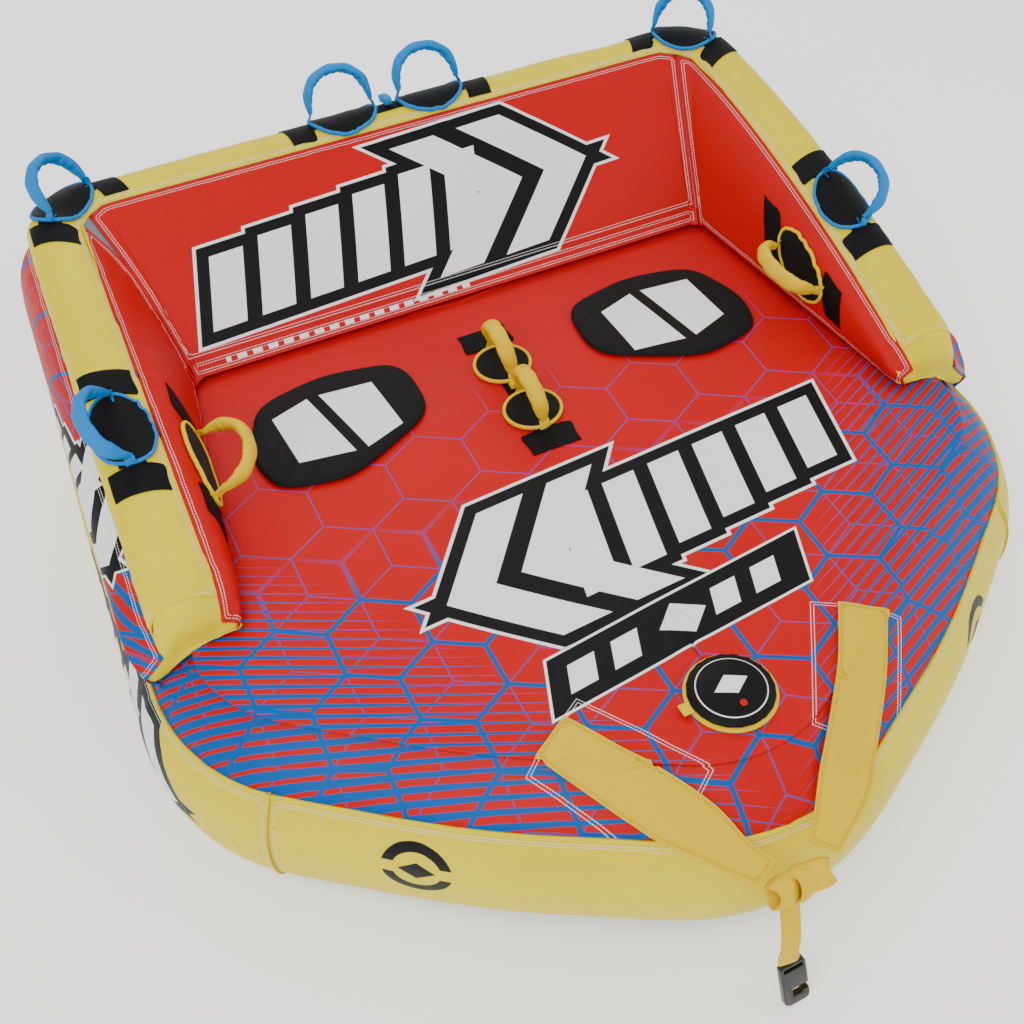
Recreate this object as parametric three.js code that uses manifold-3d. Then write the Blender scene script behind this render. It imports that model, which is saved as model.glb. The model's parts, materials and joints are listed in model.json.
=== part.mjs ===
// Two-rider towable deck tube: an inflatable base with a raised U-shaped bolster, in a sewn nylon cover.
// Millimetres. +X is across the tube, the nose points along -Y, +Z is up. The origin is on the ground, at the
// middle of the overall width and length of the base.
import * as THREE from "three";
import { mergeVertices } from "three/addons/utils/BufferGeometryUtils.js";
import Module from "manifold-3d";

const wasm = await Module();
wasm.setup();

// ---- Driving dimensions of the base ----
const WIDTH = 1826; // across the shoulders
const LENGTH = 1830; // nose to back
const BASE_HEIGHT = 350; // side wall tube
const DECK_RISE = 50; // flat of the deck, above the side wall tube
const SHOULDER_FROM_NOSE = 559;
const BACK_TAPER = 75; // how much narrower each side is at the back corner
const NOSE_RADIUS = 429;
const SHOULDER_RADIUS = 406;
const BACK_RADIUS = 210;
const SHOULDER_POINT = 12; // how far the unrounded shoulder corner stands out past the rounded one
const NOSE_POINT = 62; // the same for the nose
const EDGE_BOW = 45; // outward bow of each front edge
const EDGE_RADIUS = 1800;
const SIDE_DEPTH = 120; // how far the side wall curls in, at top and bottom
const NOSE_LIFT = 45; // the nose curls up off the ground
const LIFT_RUN = 615; // length over which it does
const DECK_SEAM_ANGLE = 50.7; // degrees up the side wall from its widest line
const BOTTOM_SEAM_ANGLE = -60;
const CROWN_RUN = 160; // the deck rises to its full height over this distance in from its seam

// ---- Driving dimensions of the bolster ----
const REST_DEPTH = 465; // back wall to the foot of the backrest
const TIP_SETBACK = 166; // arm tips, behind the shoulders
const TIP_CAP = 110; // length of the rounded tip
const RIM_RISE_BACK = 250; // inner seam of the rim, above the flat of the deck
const RIM_RISE_FRONT = 40;
const RIM_RISE_POWER = 1.6;

// ---- Cover ----
const SKIN = 2; // coated nylon with its foam backing
const SKIN_CLEARANCE = 3; // cover to bladder
const SEAM_GAP = 0.5; // between neighbouring panels
const FOOT_GAP = 4; // bolster cover above the deck panel
const LIE_GAP = 0.4; // pieces that lie on something flat
const COVER_GAP = 2.6; // pieces that follow the curved cover

// ---- Handles ----
const GRIP_RADIUS = 19;
const GRIP_SPAN = 156; // between the two sewn ends
const GRIP_HEIGHT = 70; // middle of the grip above the line through its ends
const TAIL_RADIUS = 6;
const TAIL_RISE = 20; // height of a sewn end above the cover
const GUARD_LENGTH = 146;
const GUARD_WIDTH = 116;
const GUARD_THICKNESS = 5;
const PATCH_LENGTH = 54;
const PATCH_WIDTH = 104;
const WEB_WIDTH = 50; // webbing that joins two patches under the guard
const STRAP_THICKNESS = 2;
const BACK_PAIR_SPACING = 200; // between the middles of the two back handles
const DECK_PAIR_SPACING = 142;
const DECK_PAIR_FROM_REST = 277; // foot of the backrest to the middle of the pair
const SLEEVE = { length: 18, width: 34, height: 16 };
const SIDE_HANDLE_FROM_TIP = 391; // along the rim
const INNER_HANDLE_FROM_TIP = 424;

// ---- Deck fittings ----
const VALVE_FROM_NOSE = 266;
const VALVE_RING_RADIUS = 80;
const VALVE_RING_WIDTH = 24;
const VALVE_RING_THICKNESS = 4;
const VALVE_FLAP_RADIUS = 75;
const VALVE_FLAP_THICKNESS = 4;
const VALVE_FLAP_DOME = 14;
const VALVE_HOLE_RADIUS = 30;
const VALVE_CLEARANCE = 0.5;
const PAD_FROM_REST = 82; // foot of the backrest to the back of a seat pad
const PAD_DEPTH = 286;
const PAD_THICKNESS = 14;
const PAD_FROM_MIDDLE = 180;
const PAD_FROM_ARM = 34;
const TOW_ANCHOR_X = 306;
const TOW_ANCHOR_FROM_NOSE = 325;
const TOW_WIDTH = 88;
const TOW_THICKNESS = 4;
const KNOT = { width: 128, depth: 42, height: 56 };
const LEAD_WIDTH = 36;
const LEAD_THICKNESS = 6;
const CONNECTOR = { width: 50, length: 104, thickness: 14, slot: 9, gate: 20 };
const ZIP_HALF_LENGTH = 450;
const ZIP_HEIGHT = 30;
const ZIP_SLIDER = { length: 24, height: 14, depth: 6 };

const HALF_STATIONS = 28; // sections in each half of the base outline
const COLOUR = {
  red: 0xe8222a,
  yellow: 0xfff000,
  gold: 0xffe21a,
  blue: 0x12a6e8,
  black: 0x0b0b0c,
  grey: 0x8a8f94,
};

const DECK_HEIGHT = BASE_HEIGHT + DECK_RISE;
const FRONT_Y = -LENGTH / 2;
const BACK_Y = LENGTH / 2;
const SHOULDER_Y = FRONT_Y + SHOULDER_FROM_NOSE;
const radians = THREE.MathUtils.degToRad;
const lerp = THREE.MathUtils.lerp;
const clamp = THREE.MathUtils.clamp;
const smoothstep = THREE.MathUtils.smoothstep;
const vec = (x, y, z) => new THREE.Vector3(x, y, z);

const tube = new THREE.Group();

function addPiece(name, geometry, colour, roughness = 0.6, parent = tube) {
  const material = new THREE.MeshStandardMaterial({ color: colour, roughness, metalness: 0 });
  const mesh = new THREE.Mesh(geometry, material);
  mesh.name = name;
  parent.add(mesh);
  return mesh;
}

// ---- Solids from points ----

// A closed body from points and triangles, with coincident points merged and empty triangles dropped.
function bodyOf(points, triangles) {
  const loose = new THREE.BufferGeometry().setFromPoints(points);
  loose.setIndex(triangles.flat());
  const merged = mergeVertices(loose, 1e-3);
  const index = merged.index.array;
  const kept = [];
  for (let i = 0; i < index.length; i += 3) {
    const [a, b, c] = [index[i], index[i + 1], index[i + 2]];
    if (a !== b && b !== c && c !== a) kept.push(a, b, c);
  }
  merged.setIndex(kept);
  merged.computeVertexNormals();
  return merged;
}

const quad = (a, b, c, d) => [
  [a, b, c],
  [a, c, d],
];

// A thin sheet between two grids of points, upper[row][column] and lower[row][column].
function sheetBody(upper, lower) {
  const rows = upper.length;
  const columns = upper[0].length;
  const points = [...upper.flat(), ...lower.flat()];
  const up = (i, j) => i * columns + j;
  const down = (i, j) => rows * columns + up(i, j);
  const triangles = [];
  for (let i = 0; i + 1 < rows; i += 1) {
    for (let j = 0; j + 1 < columns; j += 1) {
      triangles.push(...quad(up(i, j), up(i, j + 1), up(i + 1, j + 1), up(i + 1, j)));
      triangles.push(...quad(down(i, j), down(i + 1, j), down(i + 1, j + 1), down(i, j + 1)));
    }
    triangles.push(...quad(up(i, 0), up(i + 1, 0), down(i + 1, 0), down(i, 0)));
    const last = columns - 1;
    triangles.push(...quad(up(i, last), down(i, last), down(i + 1, last), up(i + 1, last)));
  }
  for (let j = 0; j + 1 < columns; j += 1) {
    const last = rows - 1;
    triangles.push(...quad(up(0, j), down(0, j), down(0, j + 1), up(0, j + 1)));
    triangles.push(...quad(up(last, j), up(last, j + 1), down(last, j + 1), down(last, j)));
  }
  return bodyOf(points, triangles);
}

// A body whose skin runs through closed loops of points. An end loop that encloses an area is closed by a fan
// on its middle, and one whose points already meet in pairs along a line needs none.
function loopBody(loops, fanned = true) {
  const count = loops[0].length;
  const points = loops.flat();
  const triangles = [];
  loops.slice(1).forEach((loop, k) => {
    for (let j = 0; j < count; j += 1) {
      const next = (j + 1) % count;
      triangles.push(...quad(k * count + j, k * count + next, (k + 1) * count + next, (k + 1) * count + j));
    }
  });
  if (!fanned) return bodyOf(points, triangles);
  const middle = (loop) => loop.reduce((sum, p) => sum.add(p), vec(0, 0, 0)).divideScalar(count);
  const first = points.push(middle(loops[0])) - 1;
  const last = points.push(middle(loops.at(-1))) - 1;
  const end = (loops.length - 1) * count;
  for (let j = 0; j < count; j += 1) {
    const next = (j + 1) % count;
    triangles.push([first, next, j], [last, end + j, end + next]);
  }
  return bodyOf(points, triangles);
}

const solidOf = (geometry) => {
  const bare = geometry.clone();
  bare.deleteAttribute("normal");
  bare.deleteAttribute("uv");
  const merged = mergeVertices(bare, 1e-3);
  return new wasm.Manifold(
    new wasm.Mesh({
      numProp: 3,
      vertProperties: merged.attributes.position.array,
      triVerts: new Uint32Array(merged.index.array),
    }),
  );
};

function geometryOf(solid) {
  const { vertProperties, triVerts } = solid.getMesh();
  const geometry = new THREE.BufferGeometry();
  geometry.setAttribute("position", new THREE.BufferAttribute(vertProperties, 3));
  geometry.setIndex(Array.from(triVerts));
  geometry.computeVertexNormals();
  return geometry;
}

// ---- Outline of the base ----

const shoulderX = WIDTH / 2 + SHOULDER_POINT;
const backX = shoulderX - BACK_TAPER;
const noseVertexY = FRONT_Y - NOSE_POINT;

// The right half of the outline, from the middle of the nose to the middle of the back.
function halfOutline() {
  const nose = new THREE.Vector2(0, noseVertexY);
  const shoulder = new THREE.Vector2(shoulderX, SHOULDER_Y);
  const edge = shoulder.clone().sub(nose).normalize();
  const outward = new THREE.Vector2(edge.y, -edge.x);
  const bowed = nose.clone().add(shoulder).multiplyScalar(0.5).addScaledVector(outward, EDGE_BOW);
  const backCorner = new THREE.Vector2(backX, BACK_Y);
  const corners = [
    { at: nose, radius: NOSE_RADIUS, before: bowed.clone().setX(-bowed.x), after: bowed },
    { at: bowed, radius: EDGE_RADIUS, before: nose, after: shoulder },
    { at: shoulder, radius: SHOULDER_RADIUS, before: bowed, after: backCorner },
    { at: backCorner, radius: BACK_RADIUS, before: shoulder, after: new THREE.Vector2(0, BACK_Y) },
  ];
  const path = new THREE.Path();
  corners.forEach(({ at, radius, before, after }, k) => {
    const back = before.clone().sub(at).normalize();
    const forward = after.clone().sub(at).normalize();
    const halfAngle = Math.acos(clamp(back.dot(forward), -1, 1)) / 2;
    const centre = back.clone().add(forward).normalize().multiplyScalar(radius / Math.sin(halfAngle)).add(at);
    const reach = radius / Math.tan(halfAngle);
    const start = at.clone().addScaledVector(back, reach).sub(centre);
    const finish = at.clone().addScaledVector(forward, reach).sub(centre);
    const startAngle = k === 0 ? -Math.PI / 2 : start.angle();
    path.absarc(centre.x, centre.y, radius, startAngle, finish.angle(), false);
  });
  path.lineTo(0, BACK_Y);
  return path;
}

const outline = halfOutline();

// A place on the outline: u from 0 at the nose to 1 at the back, on side +1 or -1.
function outlinePlace(u, side) {
  const at = outline.getPointAt(u);
  const along = outline.getTangentAt(u);
  return { x: side * at.x, y: at.y, nx: side * along.y, ny: -along.x };
}

const mirrored = (places) => places.map((place) => ({ ...place, x: -place.x, nx: -place.nx }));

const liftAt = (y) => NOSE_LIFT * smoothstep(FRONT_Y + LIFT_RUN - y, 0, LIFT_RUN);

// A place on the side wall, angle in degrees up from its widest line.
function wallPoint(place, angle, depth) {
  const turn = radians(angle);
  const inset = SIDE_DEPTH * (1 - Math.cos(turn)) + depth * Math.cos(turn);
  const x = place.x - place.nx * inset;
  const y = place.y - place.ny * inset;
  const z = (BASE_HEIGHT / 2) * (1 + Math.sin(turn)) - depth * Math.sin(turn);
  return vec(x, y, z + liftAt(y));
}

const deckSeamInset = SIDE_DEPTH * (1 - Math.cos(radians(DECK_SEAM_ANGLE)));
const deckSeamHeight = (BASE_HEIGHT / 2) * (1 + Math.sin(radians(DECK_SEAM_ANGLE)));

// A place on the crown of the deck, share 0 at its seam to 1 at the flat.
function crownPoint(place, share, depth) {
  const turn = radians(lerp(DECK_SEAM_ANGLE, 90, share));
  const inset = deckSeamInset + CROWN_RUN * share + depth * Math.cos(turn);
  const rise = (DECK_HEIGHT - deckSeamHeight) * Math.sin((Math.PI / 2) * share);
  const x = place.x - place.nx * inset;
  const y = place.y - place.ny * inset;
  return vec(x, y, deckSeamHeight + rise - depth * Math.sin(turn) + liftAt(y));
}

const SPINE_SHARE = 0.5;
const spinePoint = (place, height) => vec(0, place.y * SPINE_SHARE, height + liftAt(place.y * SPINE_SHARE));

const rightPlaces = Array.from({ length: HALF_STATIONS + 1 }, (_, i) => outlinePlace(i / HALF_STATIONS, 1));
const allPlaces = [...rightPlaces, ...mirrored(rightPlaces).slice(1, -1).reverse()];

const gapAngle = THREE.MathUtils.radToDeg(SEAM_GAP / 2 / SIDE_DEPTH);
const around = (make) => allPlaces.map(make);

// ---- Base ----

const CROWN_SHARES = [0.33, 0.66, 1];

function buildDeckPanel() {
  const edge = SEAM_GAP / CROWN_RUN;
  const shares = [edge, ...CROWN_SHARES];
  const top = shares.map((share) => around((place) => crownPoint(place, share, 0)));
  const under = shares.map((share) => around((place) => crownPoint(place, share, SKIN)));
  const loops = [
    around((place) => spinePoint(place, DECK_HEIGHT - SKIN)),
    ...under.reverse(),
    ...top,
    around((place) => spinePoint(place, DECK_HEIGHT)),
  ];
  return loopBody(loops, false);
}

function buildBottomPanel() {
  const angles = [-90, -75, BOTTOM_SEAM_ANGLE - gapAngle];
  const outer = angles.map((angle) => around((place) => wallPoint(place, angle, 0)));
  const inner = angles.map((angle) => around((place) => wallPoint(place, angle, SKIN)));
  return loopBody([
    around((place) => spinePoint(place, 0)),
    ...outer,
    ...inner.reverse(),
    around((place) => spinePoint(place, SKIN)),
  ], false);
}

function buildDeckBladder() {
  const depth = SKIN + SKIN_CLEARANCE;
  const wallAngles = [-90, -75, -60, -38, -15, 8, 30, DECK_SEAM_ANGLE];
  return loopBody([
    around((place) => spinePoint(place, depth)),
    ...wallAngles.map((angle) => around((place) => wallPoint(place, angle, depth))),
    ...CROWN_SHARES.map((share) => around((place) => crownPoint(place, share, depth))),
    around((place) => spinePoint(place, DECK_HEIGHT - depth)),
  ], false);
}

// A sewn length of the side wall through the given places.
function buildBand(places) {
  const low = BOTTOM_SEAM_ANGLE + gapAngle;
  const high = DECK_SEAM_ANGLE - gapAngle;
  const angles = [low, -38, -15, 8, 30, high];
  const grid = (depth) => places.map((place) => angles.map((angle) => wallPoint(place, angle, depth)));
  return sheetBody(grid(SKIN), grid(0));
}

const halfRun = outline.getLength();
const runToU = (run) => run / halfRun;
const frontSeamU = 0.292; // where each side band meets the front band
const backSeamRun = halfRun - (backX - BACK_RADIUS); // start of the straight back wall
const backSeamU = runToU(backSeamRun);

// Places along one side between two values of u, left clear of the seams at both ends.
function placesBetween(from, to, side) {
  const gap = SEAM_GAP / 2 / halfRun;
  const inside = [];
  for (let i = 0; i <= HALF_STATIONS; i += 1) {
    const u = i / HALF_STATIONS;
    if (u > from + 4 * gap && u < to - 4 * gap) inside.push(u);
  }
  return [from + gap, ...inside, to - gap].map((u) => outlinePlace(u, side));
}

const noseStart = placesBetween(0, frontSeamU, 1).slice(1);
const frontPlaces = [...mirrored(noseStart).reverse(), outlinePlace(0, 1), ...noseStart];
const backEnd = placesBetween(backSeamU, 1, 1).slice(0, -1);
const backPlaces = [...backEnd, outlinePlace(1, 1), ...mirrored(backEnd).reverse()];
const sidePlaces = placesBetween(frontSeamU, backSeamU, 1);

const deckSurface = new THREE.Mesh(buildDeckPanel(), new THREE.MeshBasicMaterial({ side: THREE.DoubleSide }));
addPiece("bottom_panel", buildBottomPanel(), COLOUR.black);
addPiece("deck_bladder", buildDeckBladder(), COLOUR.grey);
addPiece("front_band", buildBand(frontPlaces), COLOUR.yellow);
addPiece("side_band_right", buildBand(sidePlaces), COLOUR.yellow);
addPiece("side_band_left", buildBand(mirrored(sidePlaces).reverse()), COLOUR.yellow);
addPiece("back_band", buildBand(backPlaces), COLOUR.yellow);

// Height of the deck panel over a place on the plan. Past its seam it stays at the seam's own height.
function deckTop(x, y) {
  const ray = new THREE.Raycaster(vec(x, y, 5000), vec(0, 0, -1));
  const hits = ray.intersectObject(deckSurface);
  return hits.length ? hits[0].point.z : deckSeamHeight + liftAt(y);
}

// ---- Bolster ----
// Its section is set by four guides: the foot on the deck, the inner seam of the rim, the outer seam of the
// rim, and the outer foot on the deck seam. Each runs straight down the arm, round the back corner on an arc,
// and straight across the back. Insets are from the outline's widest line.
const GUIDES = {
  foot: { front: 221, rear: 293, back: REST_DEPTH, radius: 30 },
  innerSeam: { front: 205, rear: 171, back: 145, radius: 80 },
  outerSeam: { front: 70, rear: 62, back: 36, radius: 150 },
  outerFoot: { front: 52, rear: 52, back: 52, radius: 158 },
};
const OUTER_SEAM_DROP_SIDE = 40; // outer seam below the inner one, along the arms
const OUTER_SEAM_DROP_BACK = 90;
const ARM_BULGE = 25;
const BACKREST_BULGE = 14;

const tipY = SHOULDER_Y + TIP_SETBACK;
const sidelineX = (y) => lerp(shoulderX, backX, (y - SHOULDER_Y) / (BACK_Y - SHOULDER_Y));
const cornerStartY = (guide) => BACK_Y - guide.back - guide.radius;

const armRun = cornerStartY(GUIDES.innerSeam) - tipY;
const cornerRun = (Math.PI / 2) * 110;
const backRun = sidelineX(BACK_Y) - GUIDES.innerSeam.rear - GUIDES.innerSeam.radius;
const boltRun = armRun + cornerRun + backRun; // arm tip to the middle of the back, along the rim

// Where a guide is on the plan, a distance "run" along the bolster from the arm tip.
function guidePlan(guide, run) {
  const cornerY = cornerStartY(guide);
  const cornerX = sidelineX(cornerY) - guide.rear - guide.radius;
  if (run <= armRun) {
    const share = run / armRun;
    const y = lerp(tipY, cornerY, share);
    return new THREE.Vector2(sidelineX(y) - lerp(guide.front, guide.rear, share), y);
  }
  if (run <= armRun + cornerRun) {
    const turn = ((run - armRun) / cornerRun) * (Math.PI / 2);
    const [x, y] = [guide.radius * Math.cos(turn), guide.radius * Math.sin(turn)];
    return new THREE.Vector2(cornerX + x, cornerY + y);
  }
  const share = (run - armRun - cornerRun) / backRun;
  return new THREE.Vector2(lerp(cornerX, 0, share), cornerY + guide.radius);
}

function rimHeight(run) {
  const share = clamp(run / armRun, 0, 1);
  return DECK_HEIGHT + lerp(RIM_RISE_BACK, RIM_RISE_FRONT, (1 - share) ** RIM_RISE_POWER);
}

const tipSwell = (run) => {
  const share = clamp(run / TIP_CAP, 0, 1);
  return Math.max(0.12, Math.sqrt(1 - (1 - share) ** 2));
};

// The section of the bolster at a run, as three curves from the inner foot over the rim to the outer foot.
const sections = new Map();
function boltSection(run) {
  if (!sections.has(run)) sections.set(run, makeSection(run));
  return sections.get(run);
}

function makeSection(run) {
  const onBack = clamp((run - armRun) / cornerRun, 0, 1);
  const plan = Object.fromEntries(Object.entries(GUIDES).map(([key, guide]) => [key, guidePlan(guide, run)]));
  const ground = (p) => deckTop(p.x, p.y) + FOOT_GAP;
  const topZ = rimHeight(run);
  const drop = lerp(OUTER_SEAM_DROP_SIDE, OUTER_SEAM_DROP_BACK, onBack);
  const a = vec(plan.foot.x, plan.foot.y, ground(plan.foot));
  const b = vec(plan.innerSeam.x, plan.innerSeam.y, topZ);
  const c = vec(plan.outerSeam.x, plan.outerSeam.y, topZ - drop);
  const d = vec(plan.outerFoot.x, plan.outerFoot.y, ground(plan.outerFoot));
  const out = c.clone().sub(b).setZ(0).normalize();
  const lean = b.clone().sub(a);
  const level = Math.hypot(lean.x, lean.y);
  const bulge = 2 * lerp(ARM_BULGE, BACKREST_BULGE, onBack);
  const faceNormal = out.clone().multiplyScalar(-lean.z).setZ(level).normalize();
  const inner = new THREE.QuadraticBezierCurve3(
    a,
    a.clone().add(b).multiplyScalar(0.5).addScaledVector(faceNormal, bulge),
    b,
  );
  const rim = new THREE.CubicBezierCurve3(
    b,
    b.clone().addScaledVector(out, 35).setZ(b.z + 32),
    c.clone().addScaledVector(out, 12).setZ(c.z + lerp(75, 95, onBack)),
    c,
  );
  const outer = new THREE.CubicBezierCurve3(
    c,
    c.clone().addScaledVector(out, lerp(60, 20, onBack)).setZ(c.z - 50),
    d.clone().addScaledVector(out, lerp(45, 36, onBack)).setZ(d.z + 90),
    d,
  );
  return { curves: [inner, rim, outer], foot: a, outerFoot: d, swell: tipSwell(run) };
}

// Squeezes a point of the section near the arm tip, where the bolster rounds off onto the deck.
function swollen(section, point) {
  const { foot, outerFoot, swell } = section;
  const middle = foot.clone().add(outerFoot).multiplyScalar(0.5);
  const width = lerp(0.5, 1, swell);
  const x = lerp(middle.x, point.x, width);
  const y = lerp(middle.y, point.y, width);
  const floor = deckTop(x, y) + FOOT_GAP;
  const rawFloor = lerp(foot.z, outerFoot.z, clamp((point.x - foot.x) / (outerFoot.x - foot.x || 1), 0, 1));
  return vec(x, y, floor + Math.max(0, point.z - rawFloor) * swell);
}

const settled = (section, point) => (section.swell < 1 ? swollen(section, point) : point);

// A point on the bolster's cover. v runs 0 to 1 up the inner panel, to 2 over the rim, to 3 down the outside.
function boltPoint(run, v) {
  const folded = run > boltRun ? 2 * boltRun - run : run;
  const section = boltSection(folded);
  const piece = Math.min(Math.floor(v), 2);
  const point = settled(section, section.curves[piece].getPoint(v - piece));
  if (run > boltRun) point.x = -point.x;
  return point;
}

function boltNormal(run, v) {
  const stepRun = 4;
  const stepV = 0.02;
  const v0 = clamp(v - stepV, 0, 3);
  const v1 = clamp(v + stepV, 0, 3);
  const r0 = Math.max(run - stepRun, 0);
  const r1 = Math.min(run + stepRun, 2 * boltRun);
  const across = boltPoint(run, v1).sub(boltPoint(run, v0));
  const along = boltPoint(r1, v).sub(boltPoint(r0, v));
  return across.cross(along).normalize();
}

const boltAt = (run, v, height) => boltPoint(run, v).addScaledVector(boltNormal(run, v), height);

// Runs of the sections, tip to tip, with finer steps round the tips and corners.
const cornerSplit = armRun + cornerRun / 2;
function halfRuns() {
  const tip = [0, 0.08, 0.28, 0.6, 1].map((share) => share * TIP_CAP);
  const armSteps = 6;
  const arm = [];
  for (let i = 1; i <= armSteps; i += 1) arm.push(lerp(TIP_CAP, armRun, i / armSteps));
  const corner = [0.25, 0.5, 0.75].map((share) => armRun + share * cornerRun);
  const backSteps = 4;
  const back = [];
  for (let i = 0; i < backSteps; i += 1) back.push(lerp(armRun + cornerRun, boltRun, i / backSteps));
  return [...tip, ...arm, ...corner, ...back];
}
const rightRuns = halfRuns();
const allRuns = [...rightRuns, boltRun, ...rightRuns.map((run) => 2 * boltRun - run).reverse()];

function runsBetween(from, to) {
  const inside = allRuns.filter((run) => run > from + 2 && run < to - 2);
  return [from + SEAM_GAP / 2, ...inside, to - SEAM_GAP / 2];
}

// A cover panel of the bolster over a span of runs and of v.
function boltPanel(runs, vs) {
  const grid = (height) => runs.map((run) => vs.map((v) => boltAt(run, v, height)));
  return sheetBody(grid(0), grid(-SKIN));
}

const V_GAP = 0.003; // seam gap as a share of a panel's height
const V_STEPS = { inner: [0.12, 0.4, 0.7], rim: [1.25, 1.5, 1.75], outer: [2.25, 2.5, 2.75, 2.86] };
const INNER_VS = [0.03, ...V_STEPS.inner, 1 - V_GAP];
const RIM_VS = [1 + V_GAP, ...V_STEPS.rim, 2 - V_GAP];
const OUTER_VS = [2 + V_GAP, ...V_STEPS.outer, 2.97];
const oppositeSplit = 2 * boltRun - cornerSplit;
const tipStart = TIP_CAP * 0.28;
const tipEnd = 2 * boltRun - tipStart;

addPiece("right_arm_panel", boltPanel(runsBetween(tipStart, cornerSplit), INNER_VS), COLOUR.red);
addPiece("backrest_panel", boltPanel(runsBetween(cornerSplit, oppositeSplit), INNER_VS), COLOUR.red);
addPiece("left_arm_panel", boltPanel(runsBetween(oppositeSplit, tipEnd), INNER_VS), COLOUR.red);
const rimPanel = addPiece("rim_panel", boltPanel(allRuns, RIM_VS), COLOUR.yellow);
addPiece("right_outer_panel", boltPanel(runsBetween(tipStart, cornerSplit), OUTER_VS), COLOUR.red);
addPiece("back_outer_panel", boltPanel(runsBetween(cornerSplit, oppositeSplit), OUTER_VS), COLOUR.red);
addPiece("left_outer_panel", boltPanel(runsBetween(oppositeSplit, tipEnd), OUTER_VS), COLOUR.red);

function buildBoltBladder() {
  const depth = SKIN + SKIN_CLEARANCE;
  const shares = [0.1, 0.2, 0.34, 0.65, 0.96];
  const runs = runsBetween(tipStart + depth, tipEnd - depth);
  const vs = [...V_STEPS.inner, 1, ...V_STEPS.rim, 2, ...V_STEPS.outer];
  const loops = runs.map((run) => {
    const over = vs.map((v) => boltAt(run, v, -depth));
    const [inside, outside] = [over[0], over.at(-1)];
    const under = shares.map((share) => {
      const x = lerp(outside.x, inside.x, share);
      const y = lerp(outside.y, inside.y, share);
      return vec(x, y, deckTop(x, y) + FOOT_GAP + 2 * depth);
    });
    return [...over, ...under];
  });
  return loopBody(loops);
}
addPiece("bolster_bladder", buildBoltBladder(), COLOUR.grey);

// ---- Pieces that lie on the cover ----
// A cover is a function (along, across, height) in millimetres from an anchor on the bolster or the deck.
// Across, then along, then height are right-handed.

function boltCover(run0, v0) {
  const reach = 5;
  const perRun = boltPoint(run0 + reach, v0).distanceTo(boltPoint(run0 - reach, v0)) / (2 * reach);
  const perV = boltPoint(run0, v0 + 0.1).distanceTo(boltPoint(run0, v0 - 0.1)) / 0.2;
  return (along, across, height) => boltAt(run0 + along / perRun, v0 + across / perV, height);
}

const deckCover = (x0, y0) => (along, across, height) =>
  vec(x0 + across, y0 + along, deckTop(x0 + across, y0 + along) + height);

// A strap on a cover. Rows give its place along the cover and its width there.
function strapOn(cover, rows, low, high) {
  const shares = [-0.5, -0.25, 0, 0.25, 0.5];
  const row = (along, width, height) => shares.map((share) => cover(along, share * width, height));
  const grid = (height) => rows.map(([along, width]) => row(along, width, height));
  return sheetBody(grid(high), grid(low));
}

// Rows of a patch, webbing and patch, with the grip ends at the inner edges of the patches.
function patchRows(reach) {
  const shoulder = 2; // run over which the webbing widens into a patch
  const rows = 8;
  const alongWeb = (i) => ((2 * i) / rows - 1) * (reach - shoulder);
  const web = Array.from({ length: rows + 1 }, (_, i) => [alongWeb(i), WEB_WIDTH]);
  const patch = (from) => [0, 0.5, 1].map((share) => [from + share * PATCH_LENGTH, PATCH_WIDTH]);
  return [...patch(-reach - PATCH_LENGTH), ...web, ...patch(reach)];
}

// Closed ring of points at a share of an oval's size.
function ovalRing(cover, length, width, share, height, count = 16) {
  return Array.from({ length: count }, (_, k) => {
    const turn = (k / count) * 2 * Math.PI;
    return cover((Math.sin(turn) * length * share) / 2, (Math.cos(turn) * width * share) / 2, height);
  });
}

function guardOn(cover, length, width) {
  const low = STRAP_THICKNESS + 3 * COVER_GAP;
  const high = low + GUARD_THICKNESS;
  const ring = (share, height) => ovalRing(cover, length, width, share, height);
  const shares = [0.35, 0.7, 1];
  const under = shares.map((share) => ring(share, low));
  const over = shares.map((share) => ring(share, high)).reverse();
  return loopBody([...under, ...over]);
}

// ---- Grips ----
// A grip is an arch of padded webbing in its own frame: x runs between its sewn ends and z points away from
// the cover. It turns about the line through its ends.

// Half of the arch, in shares of its half span and height, from a sewn end up.
const GRIP_ARCH = [
  [1, 0],
  [0.94, 0.006],
  [0.82, 0.34],
  [0.66, 0.72],
  [0.36, 0.96],
];

function gripBody(halfSpan, height) {
  const rising = GRIP_ARCH.map(([x, z]) => vec(-x * halfSpan, 0, z * height));
  const falling = GRIP_ARCH.map(([x, z]) => vec(x * halfSpan, 0, z * height)).reverse();
  const curve = new THREE.CatmullRomCurve3([...rising, vec(0, 0, height), ...falling], false, "centripetal");
  const steps = 12;
  const sides = 8;
  const sideways = vec(0, 1, 0);
  const loops = Array.from({ length: steps + 1 }, (_, i) => {
    const share = i / steps;
    const fromEnd = Math.min(share, 1 - share);
    const radius = lerp(TAIL_RADIUS, GRIP_RADIUS, smoothstep(fromEnd, 0.03, 0.2));
    const upward = curve.getTangentAt(share).cross(sideways).normalize();
    return Array.from({ length: sides }, (_, k) => {
      const turn = (k / sides) * 2 * Math.PI;
      const reach = sideways.clone().multiplyScalar(Math.cos(turn)).addScaledVector(upward, Math.sin(turn));
      return curve.getPointAt(share).addScaledVector(reach, radius);
    });
  });
  return loopBody(loops);
}

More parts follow.
